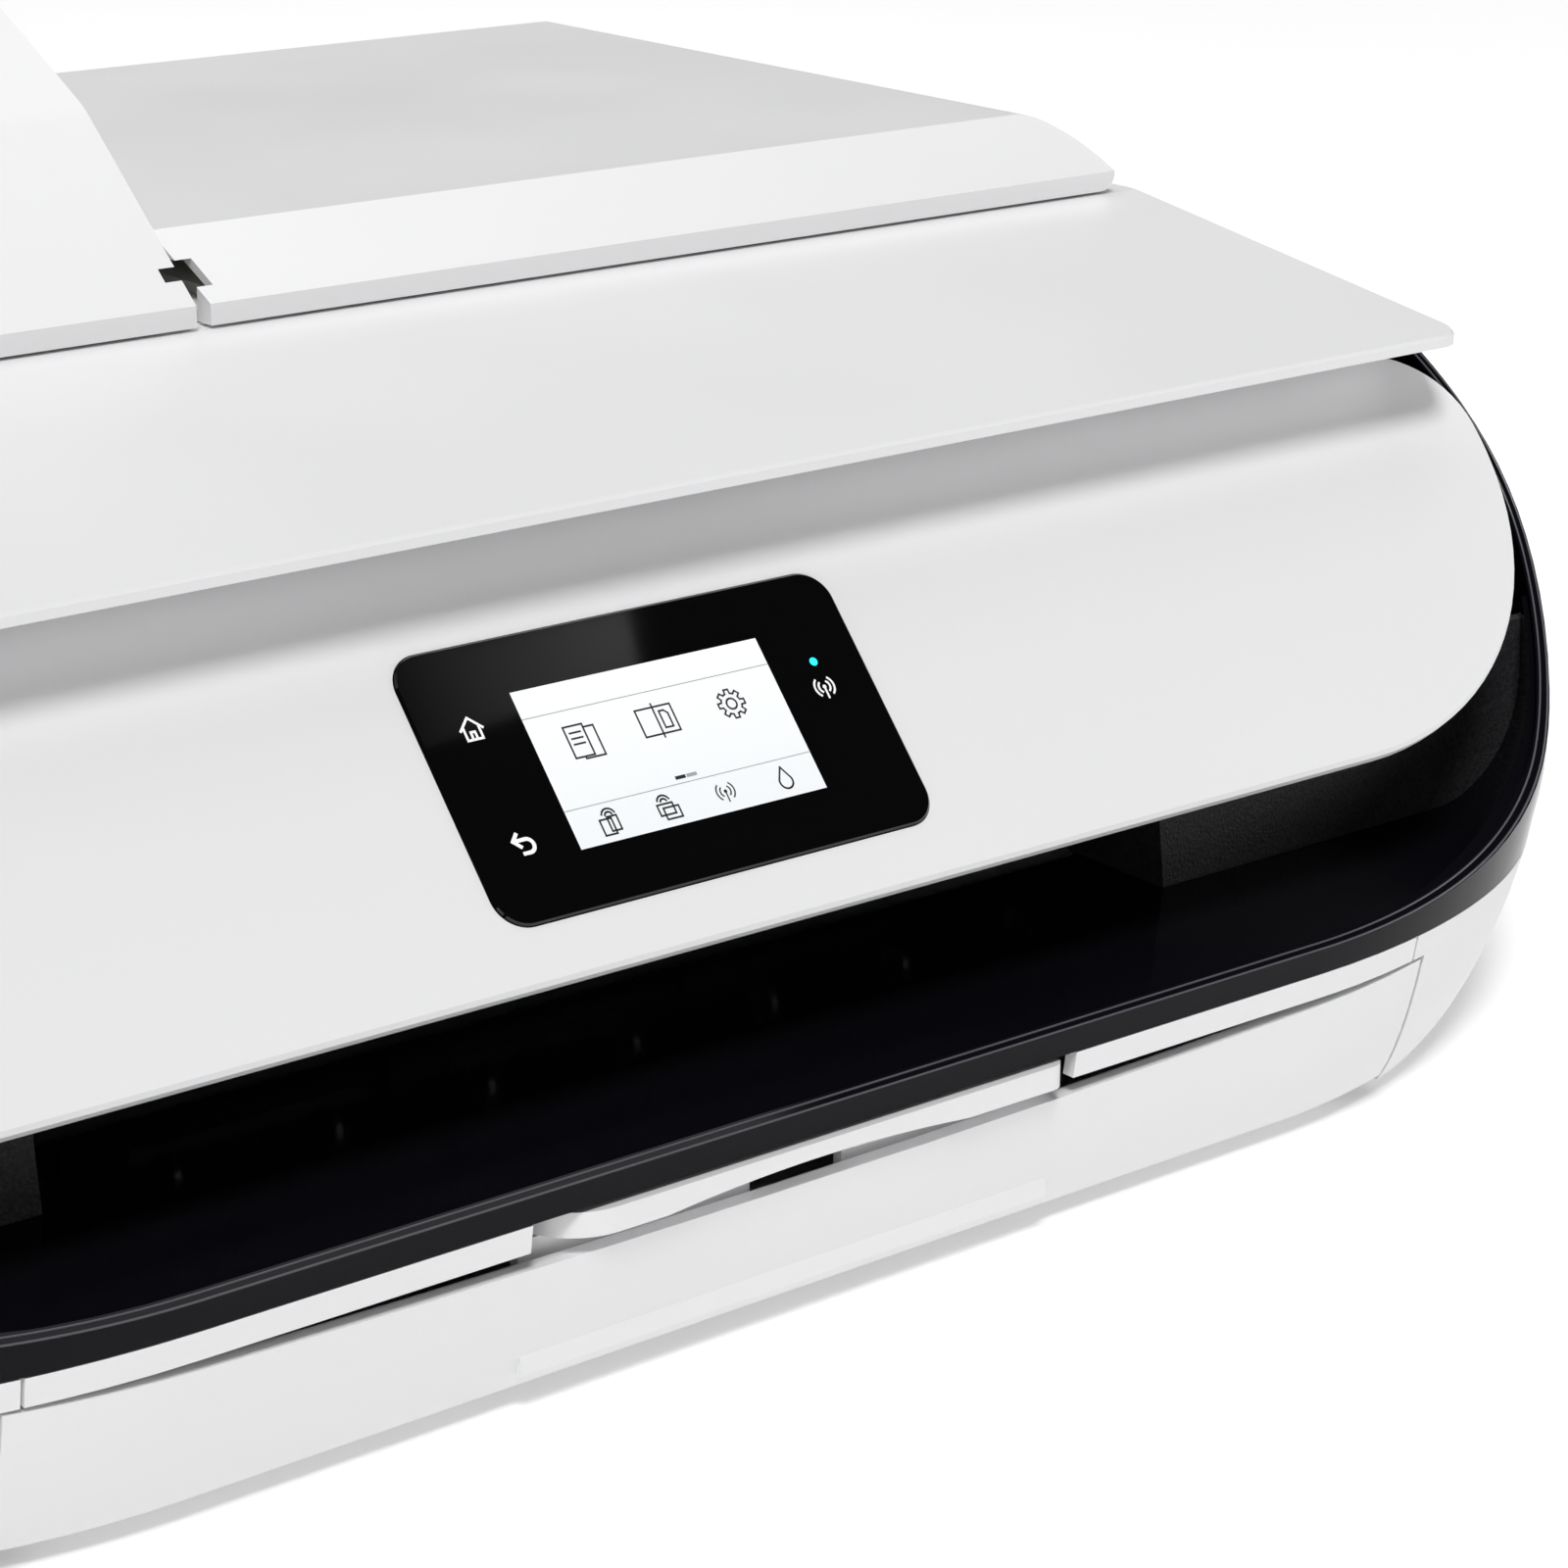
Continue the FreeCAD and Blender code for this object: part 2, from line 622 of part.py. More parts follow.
# ================================================================ paper tray
def build_tray():
    """Slide-out paper tray: curved front face, pan, finger scoop and the pivot for the extender."""
    face = body_barrel(0, tray_face_low, tray_face_end_z).cut(body_barrel(tray_face_thick, 0,
                                                                          tray_face_end_z + 2))
    sag = tray_face_end_z - tray_face_mid_z
    bow = (tray_half ** 2 + sag ** 2) / (2 * sag)
    face = face.common(box(-tray_half, tray_half, -far, front + 25, 0, far))
    face = face.cut(rod("y", -far, front + 26, 0, tray_face_mid_z + bow, bow))
    pan = box(-tray_pan_half, tray_pan_half, front + 1, tray_back_y, tray_floor_z, tray_pan_top)
    hollow = box(-tray_pan_half + tray_wall, tray_pan_half - tray_wall, front + 8, tray_back_y - tray_wall,
                 tray_floor_z + tray_wall, far)
    pan = pan.cut(hollow).common(body_barrel(1.0, tray_face_low, tray_pan_top + 1))
    pan = pan.cut(box(-far, far, -far, front + 26, tray_face_mid_z - 3, far))
    y = front + extender_depth / 2 + 0.4
    bridge = box(-extender_half - 2, extender_half + 2, y - 5, y + 8, strip_low - 3, strip_low - gap)
    recess_wall = box(-extender_half - 2, extender_half + 2, y - 5, y - 3, tray_floor_z + 1, strip_low - 2)
    slot = upright_rounded_box(-slot_half, slot_half, y - 9, y + 4, strip_low - 10, far, 2)
    pin = rod("z", strip_low - 2, strip_high - 1, extender_pivot_x, y, extender_pivot_radius)
    tray = join([face, pan, bridge.cut(slot), recess_wall.cut(slot), pin])
    return {"paper_tray": tray}


def build_extender():
    """Flat arm that swings out of the tray's front on an upright pin and catches the printed sheets."""
    y = front + extender_depth / 2 + 0.4
    half = extender_depth / 2
    arm = box(extender_pivot_x, extender_half, y - half, y + half, strip_low, strip_high)
    arm = round_edges(arm, 3.0, lambda e: is_along(e, "z") and e.CenterOfMass.x > 0)
    tail = rod("z", strip_low, strip_high, extender_pivot_x, y, half)
    hole = rod("z", 0, far, extender_pivot_x, y, extender_pivot_radius + shaft_clearance)
    hollow = extender_bow()
    return {"tray_extender": join([arm, tail]).cut(hole).cut(hollow)}


def extender_bow():
    """Hollow under the front of the extender, deepest in the middle, where a fingertip goes in."""
    bow = (grip_half ** 2 + grip_depth ** 2) / (2 * grip_depth)
    hollow = rod("y", -far, front + 7, 0, strip_low + grip_depth - bow, bow)
    return hollow.common(box(-grip_half, grip_half, -far, far, strip_low - 1, far))


def build_tray_guides():
    """Two width guides on racks, the pinion that joins them, and the length guide."""
    low = tray_floor_z + tray_wall + gap
    rack_high = low + 3
    pinion_radius = gear_module * guide_pinion_teeth / 2

    wall_right = box(paper_half, paper_half + guide_thick, guide_pinion_y - 56, guide_pinion_y + 54,
                     low, low + guide_height)
    clear = pinion_radius + 5 * gear_module + 2          # the feet stay outside both racks
    feet = [box(paper_half - 26, paper_half + guide_thick, y0, y1, low, low + 1.6)
            for y0, y1 in ((guide_pinion_y - 51, guide_pinion_y - clear),
                           (guide_pinion_y + clear, guide_pinion_y + 49))]
    rack_right = rack(-6, paper_half, guide_pinion_y + pinion_radius, -1, low, rack_high)
    right = join([wall_right, rack_right] + feet)
    rack_left = rack(-paper_half, 6, guide_pinion_y - pinion_radius, 1, low, rack_high)
    left = join([mirrored(wall_right), rack_left] + [mirrored(foot) for foot in feet])
    gear = spur_gear(guide_pinion_teeth, 3)
    gear = gear.cut(rod("z", -1, 9, 0, 0, 2.5 + shaft_clearance))
    length = box(-28, 28, tray_back_y - 9, tray_back_y - 6, low, low + 12)
    length = join([length, box(-14, 14, tray_back_y - 40, tray_back_y - 8, low, low + 1.6)])
    return {"width_guide_right": right, "width_guide_left": left,
            "guide_pinion": placed(gear, 0, guide_pinion_y, low), "length_guide": length}


def guide_pivot():
    """Stub on the tray floor that the guide pinion turns on."""
    return rod("z", tray_floor_z + 1, tray_floor_z + tray_wall + gap + 4, 0, guide_pinion_y, 2.5)


# ================================================================ paper drive
def driven_shaft(y, roller_radius, rollers):
    shaft = rod("x", gear_x + 0.2, plate_x + sheet + 3, y, roller_axis_z, drive_shaft_radius)
    parts = [rod("x", x0, x1, y, roller_axis_z, roller_radius) for x0, x1 in rollers]
    return join([shaft] + parts)


def gear_on_shaft(teeth, angle, y, z, x, width, bore):
    gear = spur_gear(teeth, width, angle).cut(rod("z", -1, width + 1, 0, 0, bore))
    return placed(turned_to_x(gear), x, y, z)


def motor_place():
    reach = gear_module * (gear_teeth + pinion_teeth) / 2
    angle = math.radians(motor_direction)
    return feed_y + reach * math.cos(angle), roller_axis_z + reach * math.sin(angle)


def build_drive():
    """Feed and output shafts with their rollers and gears, the idler between them, and the feed motor."""
    spacing = [x for x in (-90, -30, 30, 90)]
    output = driven_shaft(output_y, output_radius, [(x - 6, x + 6) for x in spacing])
    feed = driven_shaft(feed_y, feed_radius, [(x - 24, x + 24) for x in spacing])
    middle = (feed_y + output_y) / 2
    feed_angle = math.pi
    idler_angle = mesh_angle(feed_angle, gear_teeth, math.pi, idler_teeth)
    output_angle = mesh_angle(idler_angle, idler_teeth, math.pi, gear_teeth)
    direction = math.radians(motor_direction)
    pinion_angle = mesh_angle(feed_angle, gear_teeth, direction, pinion_teeth)
    bore = drive_shaft_radius
    feed_gear = gear_on_shaft(gear_teeth, feed_angle, feed_y, roller_axis_z, gear_x, gear_width, bore)
    output_gear = gear_on_shaft(gear_teeth, output_angle, output_y, roller_axis_z, gear_x, gear_width, bore)
    idler = gear_on_shaft(idler_teeth, idler_angle, middle, roller_axis_z, gear_x, gear_width,
                          idler_pin_radius + shaft_clearance)
    y, z = motor_place()
    pinion = gear_on_shaft(pinion_teeth, pinion_angle, y, z, gear_x, gear_width, 1.5)
    shaft = rod("x", gear_x, -plate_x - sheet + 6, y, z, 1.5)
    body = rod("x", -plate_x + gap, -plate_x + motor_length, y, z, motor_radius)
    body = body.cut(rod("x", -far, -plate_x + 8, y, z, 2.2))
    body = round_edges(body, 2, lambda e: abs(e.CenterOfMass.x + plate_x - motor_length) < 1e-6)
    return {
        "output_shaft": join([output, output_gear]), "feed_shaft": join([feed, feed_gear]),
        "idler_gear": idler, "motor_pinion": join([pinion, shaft]), "feed_motor": body,
    }


def build_pick():
    """Two rubber pick rollers on a short shaft, hung above the tray by an arm."""
    shaft = rod("x", -pick_x - 10, pick_x + 10, pick_y, pick_z, 2.5)
    rollers = [rod("x", x - 7, x + 7, pick_y, pick_z, pick_radius) for x in (-pick_x, pick_x)]
    plates = [box(x, x + 3, pick_y - 6, pick_y + 6, pick_z - 5, pick_arm_z + 1)
              for x in (-pick_x - 14, pick_x + 11)]
    top = box(-pick_x - 14, pick_x + 14, pick_y - 8, pick_y + 8, pick_arm_z, pick_arm_z + 3)
    hanger = box(-pick_x - 14, pick_x + 14, rail_y + sheet + gap, pick_y, pick_arm_z, pick_arm_z + 3)
    arm = join(plates + [top, hanger])
    arm = arm.cut(rod("x", -far, far, pick_y, pick_z, 2.5 + shaft_clearance))
    turning = join([shaft] + rollers)
    longer = rod("x", -pick_x - 13, pick_x + 13, pick_y, pick_z, 2.5)
    return {"pick_arm": arm, "pick_rollers": join([turning, longer])}


def build_chassis():
    """Sheet-metal frame: two side plates, the carriage rail between them and the pulley brackets."""
    plates = []
    for x in (-plate_x - sheet, plate_x):
        plates.append(box(x, x + sheet, output_y - 14, feed_y + 24, foot_height + wall + 0.1, plate_top))
    rail = box(-rail_half, rail_half, rail_y, rail_y + sheet, rail_low, rail_high)
    y, z = motor_place()
    mount = box(-plate_x - sheet, -plate_x, rail_y, y + motor_radius + 2, plate_top - 1, z + motor_radius + 2)
    mount = mount.cut(rod("x", -far, far, y, z, 2.2))
    links = [box(x, x + sheet, rail_y, feed_y + 24, plate_top - 1, rail_low + 8) for x in (plate_x,)]
    brackets = []
    for side in (-1, 1):
        x0, x1 = sorted((side * (rail_half - 6), side * (pulley_x + 12)))
        brackets.append(box(x0, x1, belt_y - 6, rail_y + sheet, belt_low - 3, belt_low - 1.5))
    frame = join(plates + [rail, mount] + links + brackets)
    for y, radius in ((output_y, drive_shaft_radius), (feed_y, drive_shaft_radius)):
        frame = frame.cut(rod("x", -far, far, y, roller_axis_z, radius + shaft_clearance))
    slot = box(gear_x - 1.5, -plate_x - sheet, -far, far, rail_low - 1,
               roller_axis_z + gear_teeth * gear_module / 2 + 3)
    pinion_slot = box(gear_x - 1.5, -plate_x - sheet, -far, far, 60, 82)
    frame = frame.cut(slot).cut(pinion_slot)
    middle = (feed_y + output_y) / 2
    stud = rod("x", gear_x + 0.5, -plate_x - sheet + 0.1, middle, roller_axis_z, idler_pin_radius)
    for side in (-1, 1):
        frame = frame.cut(rod("z", 0, far, side * pulley_x, belt_y, 2 + shaft_clearance))
    return {"chassis": join([frame, stud])}


def build_platen():
    """Ribbed plate under the print line, and the bar of star wheels over the output rollers."""
    x = plate_x - 1
    plate = box(-x, x, output_y + 8, feed_y - 8, roller_axis_z - 2, roller_axis_z)
    ribs = [box(r - 1, r + 1, output_y + 10, feed_y - 10, roller_axis_z - 0.5, roller_axis_z + 4.5)
            for r in range(-105, 106, 15)]
    rim = box(-x, x, output_y + 8, output_y + 10, roller_axis_z - 8, roller_axis_z)
    bar = box(-x, x, output_y - 5, output_y + 5, roller_axis_z + 12, roller_axis_z + 14)
    hangers = []
    wheels = []
    for r in range(-105, 106, 30):
        hangers.append(box(r - 3, r + 3, output_y - 2, output_y + 2, roller_axis_z + 9.5,
                           roller_axis_z + 12.1))
        wheels.append(rod("x", r - 0.6, r + 0.6, output_y, roller_axis_z + 9, 3.5))
    slots = [box(r - 1, r + 1, output_y - 4, output_y + 4, 0, roller_axis_z + 13)
             for r in range(-105, 106, 30)]
    feet = [box(s - 2, s + 2, output_y - 3, output_y + 3, plate_top + seam, roller_axis_z + 12.1)
            for s in (-plate_x - 0.5, plate_x + 0.5)]
    bar = join([bar.fuse(box(-x - 4, x + 4, output_y - 3, output_y + 3, roller_axis_z + 12,
                             roller_axis_z + 14))]
               + hangers + feet)
    for cut in slots:
        bar = bar.cut(cut)
    return {"platen": join([plate, rim] + ribs), "star_wheel_bar": bar, "star_wheels": group(wheels)}


def build_turn_guide():
    """Curved guide at the rear that turns the sheet from the tray up to the feed rollers."""
    outer = rod("x", -turn_half, turn_half, turn_y, 40, 32)
    inner = rod("x", -turn_half - 1, turn_half + 1, turn_y, 40, 29)
    shell = outer.cut(inner).common(box(-far, far, turn_y + 2, far, 12, 72))
    ribs = []
    for x in range(-100, 101, 25):
        rib = rod("x", x, x + 1.6, turn_y, 40, 40).cut(rod("x", x - 1, x + 3, turn_y, 40, 31))
        ribs.append(rib.common(box(-far, far, turn_y + 4, turn_y + 38, 12, 72)))
    return {"turn_guide": join([shell] + ribs)}


# ================================================================ ink carriage
def build_carriage():
    """Carriage with two cartridge bays, and the shoe that runs on the rail."""
    x0, x1 = carriage_park_x - carriage_half, carriage_park_x + carriage_half
    body = box(x0, x1, carriage_front, carriage_back, carriage_low, carriage_high)
    body = round_edges(body, 2, lambda e: is_along(e, "z"))
    for side in (-1, 1):
        middle = carriage_park_x + side * bay_offset
        bay = box(middle - bay_half, middle + bay_half, carriage_front + 3, carriage_back - 3,
                  carriage_low + 4, far)
        nozzle = box(middle - 7, middle + 7, carriage_front + 8, carriage_back - 8, 0, carriage_low + 5)
        mouth = box(middle - bay_half, middle + bay_half, -far, carriage_back - 3, carriage_low + 14, far)
        body = body.cut(bay).cut(nozzle).cut(mouth)
    shoe = box(x0 + 6, x1 - 6, carriage_back - 3, rail_y - gap, belt_low + belt_width + 2,
               belt_low + belt_width + 6.5)
    clamp = box(carriage_park_x - 7, carriage_park_x + 7, carriage_back - 1,
                belt_y - pulley_radius - belt_thick - gap,
                belt_low - 1, belt_low + belt_width + 3)
    carriage = join([body, shoe, clamp])
    y, z = latch_axis()
    pins = [rod("x", carriage_park_x + side * bay_offset - bay_half - 1, carriage_park_x + side * bay_offset
                + bay_half + 1, y, z, latch_pin) for side in (-1, 1)]
    return {"carriage": join([carriage] + pins)}


def latch_axis():
    return carriage_back - 6.5, carriage_high - 4.0


def build_cartridges():
    """Two ink cartridges and the hinged latch that holds each one down."""
    made = {}
    y, z = latch_axis()
    for side, name in ((-1, "tricolour"), (1, "black")):
        middle = carriage_park_x + side * bay_offset
        half = bay_half - gap
        body = box(middle - half, middle + half, carriage_front + 4, y - 5, carriage_low + 4 + gap,
                   carriage_high - 7)
        body = round_edges(body, 1.5, lambda e: is_along(e, "x") and e.CenterOfMass.z > carriage_low + 10)
        snout = box(middle - 6, middle + 6, carriage_front + 10, carriage_back - 14, carriage_low + 1,
                    carriage_low + 6)
        grip = box(middle - 8, middle + 8, carriage_front + 1.5, carriage_front + 5, carriage_high - 16,
                   carriage_high - 12)
        made["cartridge_" + name] = join([body, snout, grip])
        lever = box(middle - half + 0.4, middle + half - 0.4, carriage_front + 2, y, carriage_high - 6,
                    carriage_high - 3.5)
        knuckle = rod("x", middle - half + 0.4, middle + half - 0.4, y, z, 3.2)
        latch = join([lever, knuckle]).cut(rod("x", -far, far, y, z, latch_pin + shaft_clearance))
        made["latch_" + name] = latch
    return made


def build_belt():
    """Toothed belt, the drive and idler pulleys, the carriage motor and the encoder strip."""
    high = belt_low + belt_width

    def loop(radius, low, top):
        ends = [rod("z", low, top, side * pulley_x, belt_y, radius) for side in (-1, 1)]
        return join(ends + [box(-pulley_x, pulley_x, belt_y - radius, belt_y + radius, low, top)])
    belt = loop(pulley_radius + belt_thick, belt_low,
                high).cut(loop(pulley_radius + 0.02, belt_low - 1, high + 1))
    made = {"carriage_belt": belt}
    for side, name in ((1, "drive_pulley"), (-1, "idler_pulley")):
        x = side * pulley_x
        drum = rod("z", belt_low - 0.3, high + 0.3, x, belt_y, pulley_radius - 0.03)
        lips = [rod("z", z, z + 0.9, x, belt_y, pulley_radius + 2) for z in (belt_low - 1.1, high + 0.2)]
        shaft = rod("z", belt_low - 7, high + 2, x, belt_y, 2)
        made[name] = join([drum, shaft] + lips)
    x = pulley_x
    motor = rod("z", rail_low, belt_low - 3.4, x, belt_y, 12.5)
    motor = motor.cut(rod("z", belt_low - 8, far, x, belt_y, 2.6))
    made["carriage_motor"] = round_edges(motor, 2, lambda e: abs(e.CenterOfMass.z - rail_low) < 1e-6)
    strip = box(-rail_half + 3, rail_half - 3, encoder_y, encoder_y + 0.3, rail_high - 3.5, rail_high + 0.5)
    made["encoder_strip"] = strip
    return made


def build_station():
    """Service station under the parked carriage: a tub, two rubber caps and a wiper."""
    x0, x1 = plate_x + sheet + 1, carriage_park_x + carriage_half + 6
    tub = box(x0, x1, carriage_front - 2, carriage_back + 4, 30, carriage_low - 3)
    tub = tub.cut(box(x0 + 2, x1 - 2, carriage_front, carriage_back + 2, 33, far))
    legs = [box(x, x + 3, carriage_front + 6, carriage_back - 6, foot_height + wall + 0.1, 31)
            for x in (x0 + 4, x1 - 10)]
    pads = [box(carriage_park_x + side * 11 + 1, carriage_park_x + side * 11 + 13, carriage_front + 10,
                carriage_back - 12, 33.2, carriage_low - 1) for side in (-0.4, 1)]
    pads = [round_edges(p, 1.5, lambda e: is_along(e, "z")) for p in pads]
    wiper = box(carriage_park_x + 28, carriage_park_x + 29.5, carriage_front + 8, carriage_back - 8, 33.2,
                carriage_low - 1)
    return {"service_station": join([tub] + legs), "rubber_caps": group(pads + [wiper])}


# ================================================================ scanner
def build_scanner():
    """Flatbed: the tub under the lid, two glasses, and the sensor head on its rod."""
    outer = box(-bed_half, bed_half, bed_front, bed_back, bed_low, bed_high)
    outer = round_edges(outer, 20, lambda e: is_along(e, "z") and e.CenterOfMass.y > 0)
    inner = box(-bed_half + bed_wall, bed_half - bed_wall, bed_front + bed_wall, bed_back - 22,
                bed_low + bed_wall, bed_high - bed_roof)
    bed = outer.cut(inner)
    strip_x0, strip_x1 = strip_glass_x - strip_glass_width / 2, strip_glass_x + strip_glass_width / 2
    glasses = []
    for x0, x1 in ((glass_x0, glass_x1), (strip_x0, strip_x1)):
        pocket = box(x0 - seam, x1 + seam, glass_y0 - seam, glass_y1 + seam,
                     bed_high - glass_thick - 0.05, far)
        window = box(x0 + 4, x1 - 4, glass_y0 + 4, glass_y1 - 4, bed_low + 5, far)
        bed = bed.cut(pocket).cut(window)
        glasses.append(box(x0, x1, glass_y0, glass_y1, bed_high - glass_thick, bed_high))

    y, z = door_axis()
    for x in door_hinge_x:
        for x0 in (x - 5, x + 6 + gap):
            lug = rod("x", x0, x0 + 5 - gap, y, z, 3.0)
            arm = box(x0, x0 + 5 - gap, y, bed_front + 1, z - 3, z)
            hole = rod("x", x0 - 1, x0 + 6, y, z, 1.6 + shaft_clearance)
            bed = join([bed, lug, arm]).cut(hole)
    for x in (-lid_hinge_x, lid_hinge_x):
        boss = rod("x", x - 5, x + 5, lid_hinge_y, lid_hinge_z, 5)
        plinth = box(x - 5, x + 5, bed_back - 4, lid_hinge_y + 4, bed_high - 5, lid_hinge_z - 4.8)
        hole = rod("x", x - 6, x + 6, lid_hinge_y, lid_hinge_z, hinge_pin_radius + shaft_clearance)
        bed = join([bed, boss, plinth]).cut(hole)

    head = box(strip_glass_x - head_half, strip_glass_x + head_half, glass_y0, glass_y1 - 2,
               scan_rail_z + 4.5,
               bed_high - bed_roof - gap)
    saddle = box(strip_glass_x - 14, strip_glass_x + 14, scan_rail_y - 7, scan_rail_y + 7, scan_rail_z - 4.5,
                 scan_rail_z + 5)
    head = join([head, saddle])
    head = head.cut(rod("x", -far, far, scan_rail_y, scan_rail_z, scan_rail_radius + shaft_clearance))
    lens = box(strip_glass_x - 1.5, strip_glass_x + 1.5, glass_y0 + 3, glass_y1 - 6,
               bed_high - bed_roof - 1.4, far)
    rail = rod("x", -bed_half + bed_wall, bed_half - bed_wall, scan_rail_y, scan_rail_z, scan_rail_radius)
    return {"scanner_bed": bed, "scan_head": head.cut(lens), "scan_rod": rail,
            "scanner_glass": group(glasses)}


# ================================================================ lid
def build_lid():
    """Scanner lid: a wide shallow shell whose thin front edge rises towards the feeder, and its white pad."""
    top = [(lid_front, lid_low), (lid_front, lid_low + lid_edge), (lid_rise_y, lid_rise_z),
           (lid_back, lid_rise_z),
           (lid_back, lid_low)]
    shell = profile_yz(top, -lid_half, lid_half)
    shell = shell.common(upright_rounded_box(-lid_half, lid_half, lid_front, lid_back, 0, far, lid_corner))
    front_edge = [e for e in shell.Edges if is_along(e, "x") and abs(e.CenterOfMass.y - lid_front) < 0.1
                  and e.CenterOfMass.z > lid_low + 1]
    shell = shell.makeChamfer(0.5, front_edge)
    rise = (lid_rise_z - lid_low - lid_edge) / (lid_rise_y - lid_front)
    y0 = lid_front + 14
    z0 = lid_low + lid_edge + rise * (y0 - lid_front) - lid_skin
    hollow = [(y0, lid_low - 1), (y0, z0), (lid_rise_y, lid_rise_z - lid_skin),
              (lid_back - 3, lid_rise_z - lid_skin),
              (lid_back - 3, lid_low - 1)]
    shell = shell.cut(profile_yz(hollow, -lid_half + 3, lid_half - 3))
    ribs = [box(x, x + 1.5, y0 - 1, lid_back - 2, lid_low + 3, lid_low + lid_edge + 1)
            for x in (-100, 0, 100)]
    lid = join([shell] + ribs)
    for x in (-lid_hinge_x, lid_hinge_x):
        ears = []
        for x0 in (x - 5 - gap - 5, x + 5 + gap):
            ears.append(rod("x", x0, x0 + 5, lid_hinge_y, lid_hinge_z, 4.4))
            ears.append(box(x0, x0 + 5, lid_back - 2, lid_hinge_y, lid_hinge_z - 2, lid_hinge_z + 4.4))
        pin = rod("x", x - 8, x + 8, lid_hinge_y, lid_hinge_z, hinge_pin_radius)
        lid = join([lid] + ears + [pin])
    pad = box(glass_x0 - 4, glass_x1 + 4, glass_y0 - 3, glass_y1 + 3, bed_high + gap, lid_low + 2.6)
    pad = round_edges(pad, 4, lambda e: is_along(e, "z"))
    return {"scanner_lid": lid, "lid_pad": pad}


# ================================================================ document feeder


def feeder_section(profile, inset, drop):
    points = [(lid_rise_y + inset, feeder_low - drop),
              (lid_rise_y + inset, feeder_low + feeder_face - inset * 0.3)]
    points += [(y, feeder_low + height - inset) for y, height in profile]
    points += [(feeder_back - inset, feeder_low + feeder_face + 4), (feeder_back - inset, feeder_low - drop)]
    return points


def feeder_shell(side, x_split, profile, top):
    """Half of the feeder's cover, hinged on its outer lower corner, which is rounded about the hinge."""
    x_outer = side * feeder_half
    axis_x = x_outer - side * feeder_hinge_inset
    x0, x1 = sorted((x_outer, x_split))
    slab = box(x0, x1, lid_rise_y, feeder_back, feeder_low, top)
    slab = round_edges(slab, feeder_edge_round, lambda e: is_along(e, "y")
                       and abs(e.CenterOfMass.x - x_outer) < 0.1
                       and e.CenterOfMass.z > feeder_hinge_z)
    c0, c1 = sorted((x_outer + side, axis_x))
    slab = slab.cut(box(c0, c1, -far, far, 0, feeder_hinge_z))
    knuckle = rod("y", lid_rise_y, feeder_back, axis_x, feeder_hinge_z, feeder_hinge_inset)
    outside = profile_yz(feeder_section(profile, 0, 0), -far, far)
    if profile is cover_profile:
        outside = round_edges(outside, cover_bend, lambda e: is_along(e, "x")
                              and e.CenterOfMass.z > feeder_low + 20)
    solid = join([slab, knuckle]).common(outside)
    inside = profile_yz(feeder_section(profile, feeder_skin, 5), -far, far)
    h0, h1 = sorted((x_outer - side * feeder_skin, x_split + side * feeder_skin))
    high = box(h0, h1, -far, far, feeder_hinge_z + feeder_hinge_inset + 1, top - feeder_skin)
    l0, l1 = sorted((axis_x - side * (feeder_hinge_inset + 0.2), x_split + side * feeder_skin))
    low = box(l0, l1, -far, far, 0, top - feeder_skin)
    shell = solid.cut(inside.common(high)).cut(inside.common(low))
    passage = box(x_split - feeder_skin - 1, x_split + feeder_skin + 1, feeder_base_front - 1.5,
                  feeder_base_back + 1.5, 0, lid_rise_z + 10)
    shell = shell.cut(passage)
    n0, n1 = sorted((axis_x, axis_x - side * 6))
    for y in bracket_y:
        y0, y1 = y - gap, y + bracket_width + gap
        shell = shell.cut(rod("y", y0, y1, axis_x, feeder_hinge_z, feeder_hinge_inset + 0.2))
        shell = shell.cut(box(n0, n1, y0, y1, 0, feeder_hinge_z + feeder_hinge_inset + 0.4))
    pin = rod("y", bracket_y[0] - 3, bracket_y[1] + bracket_width + 3, axis_x, feeder_hinge_z, 1.6)
    return join([shell, pin])


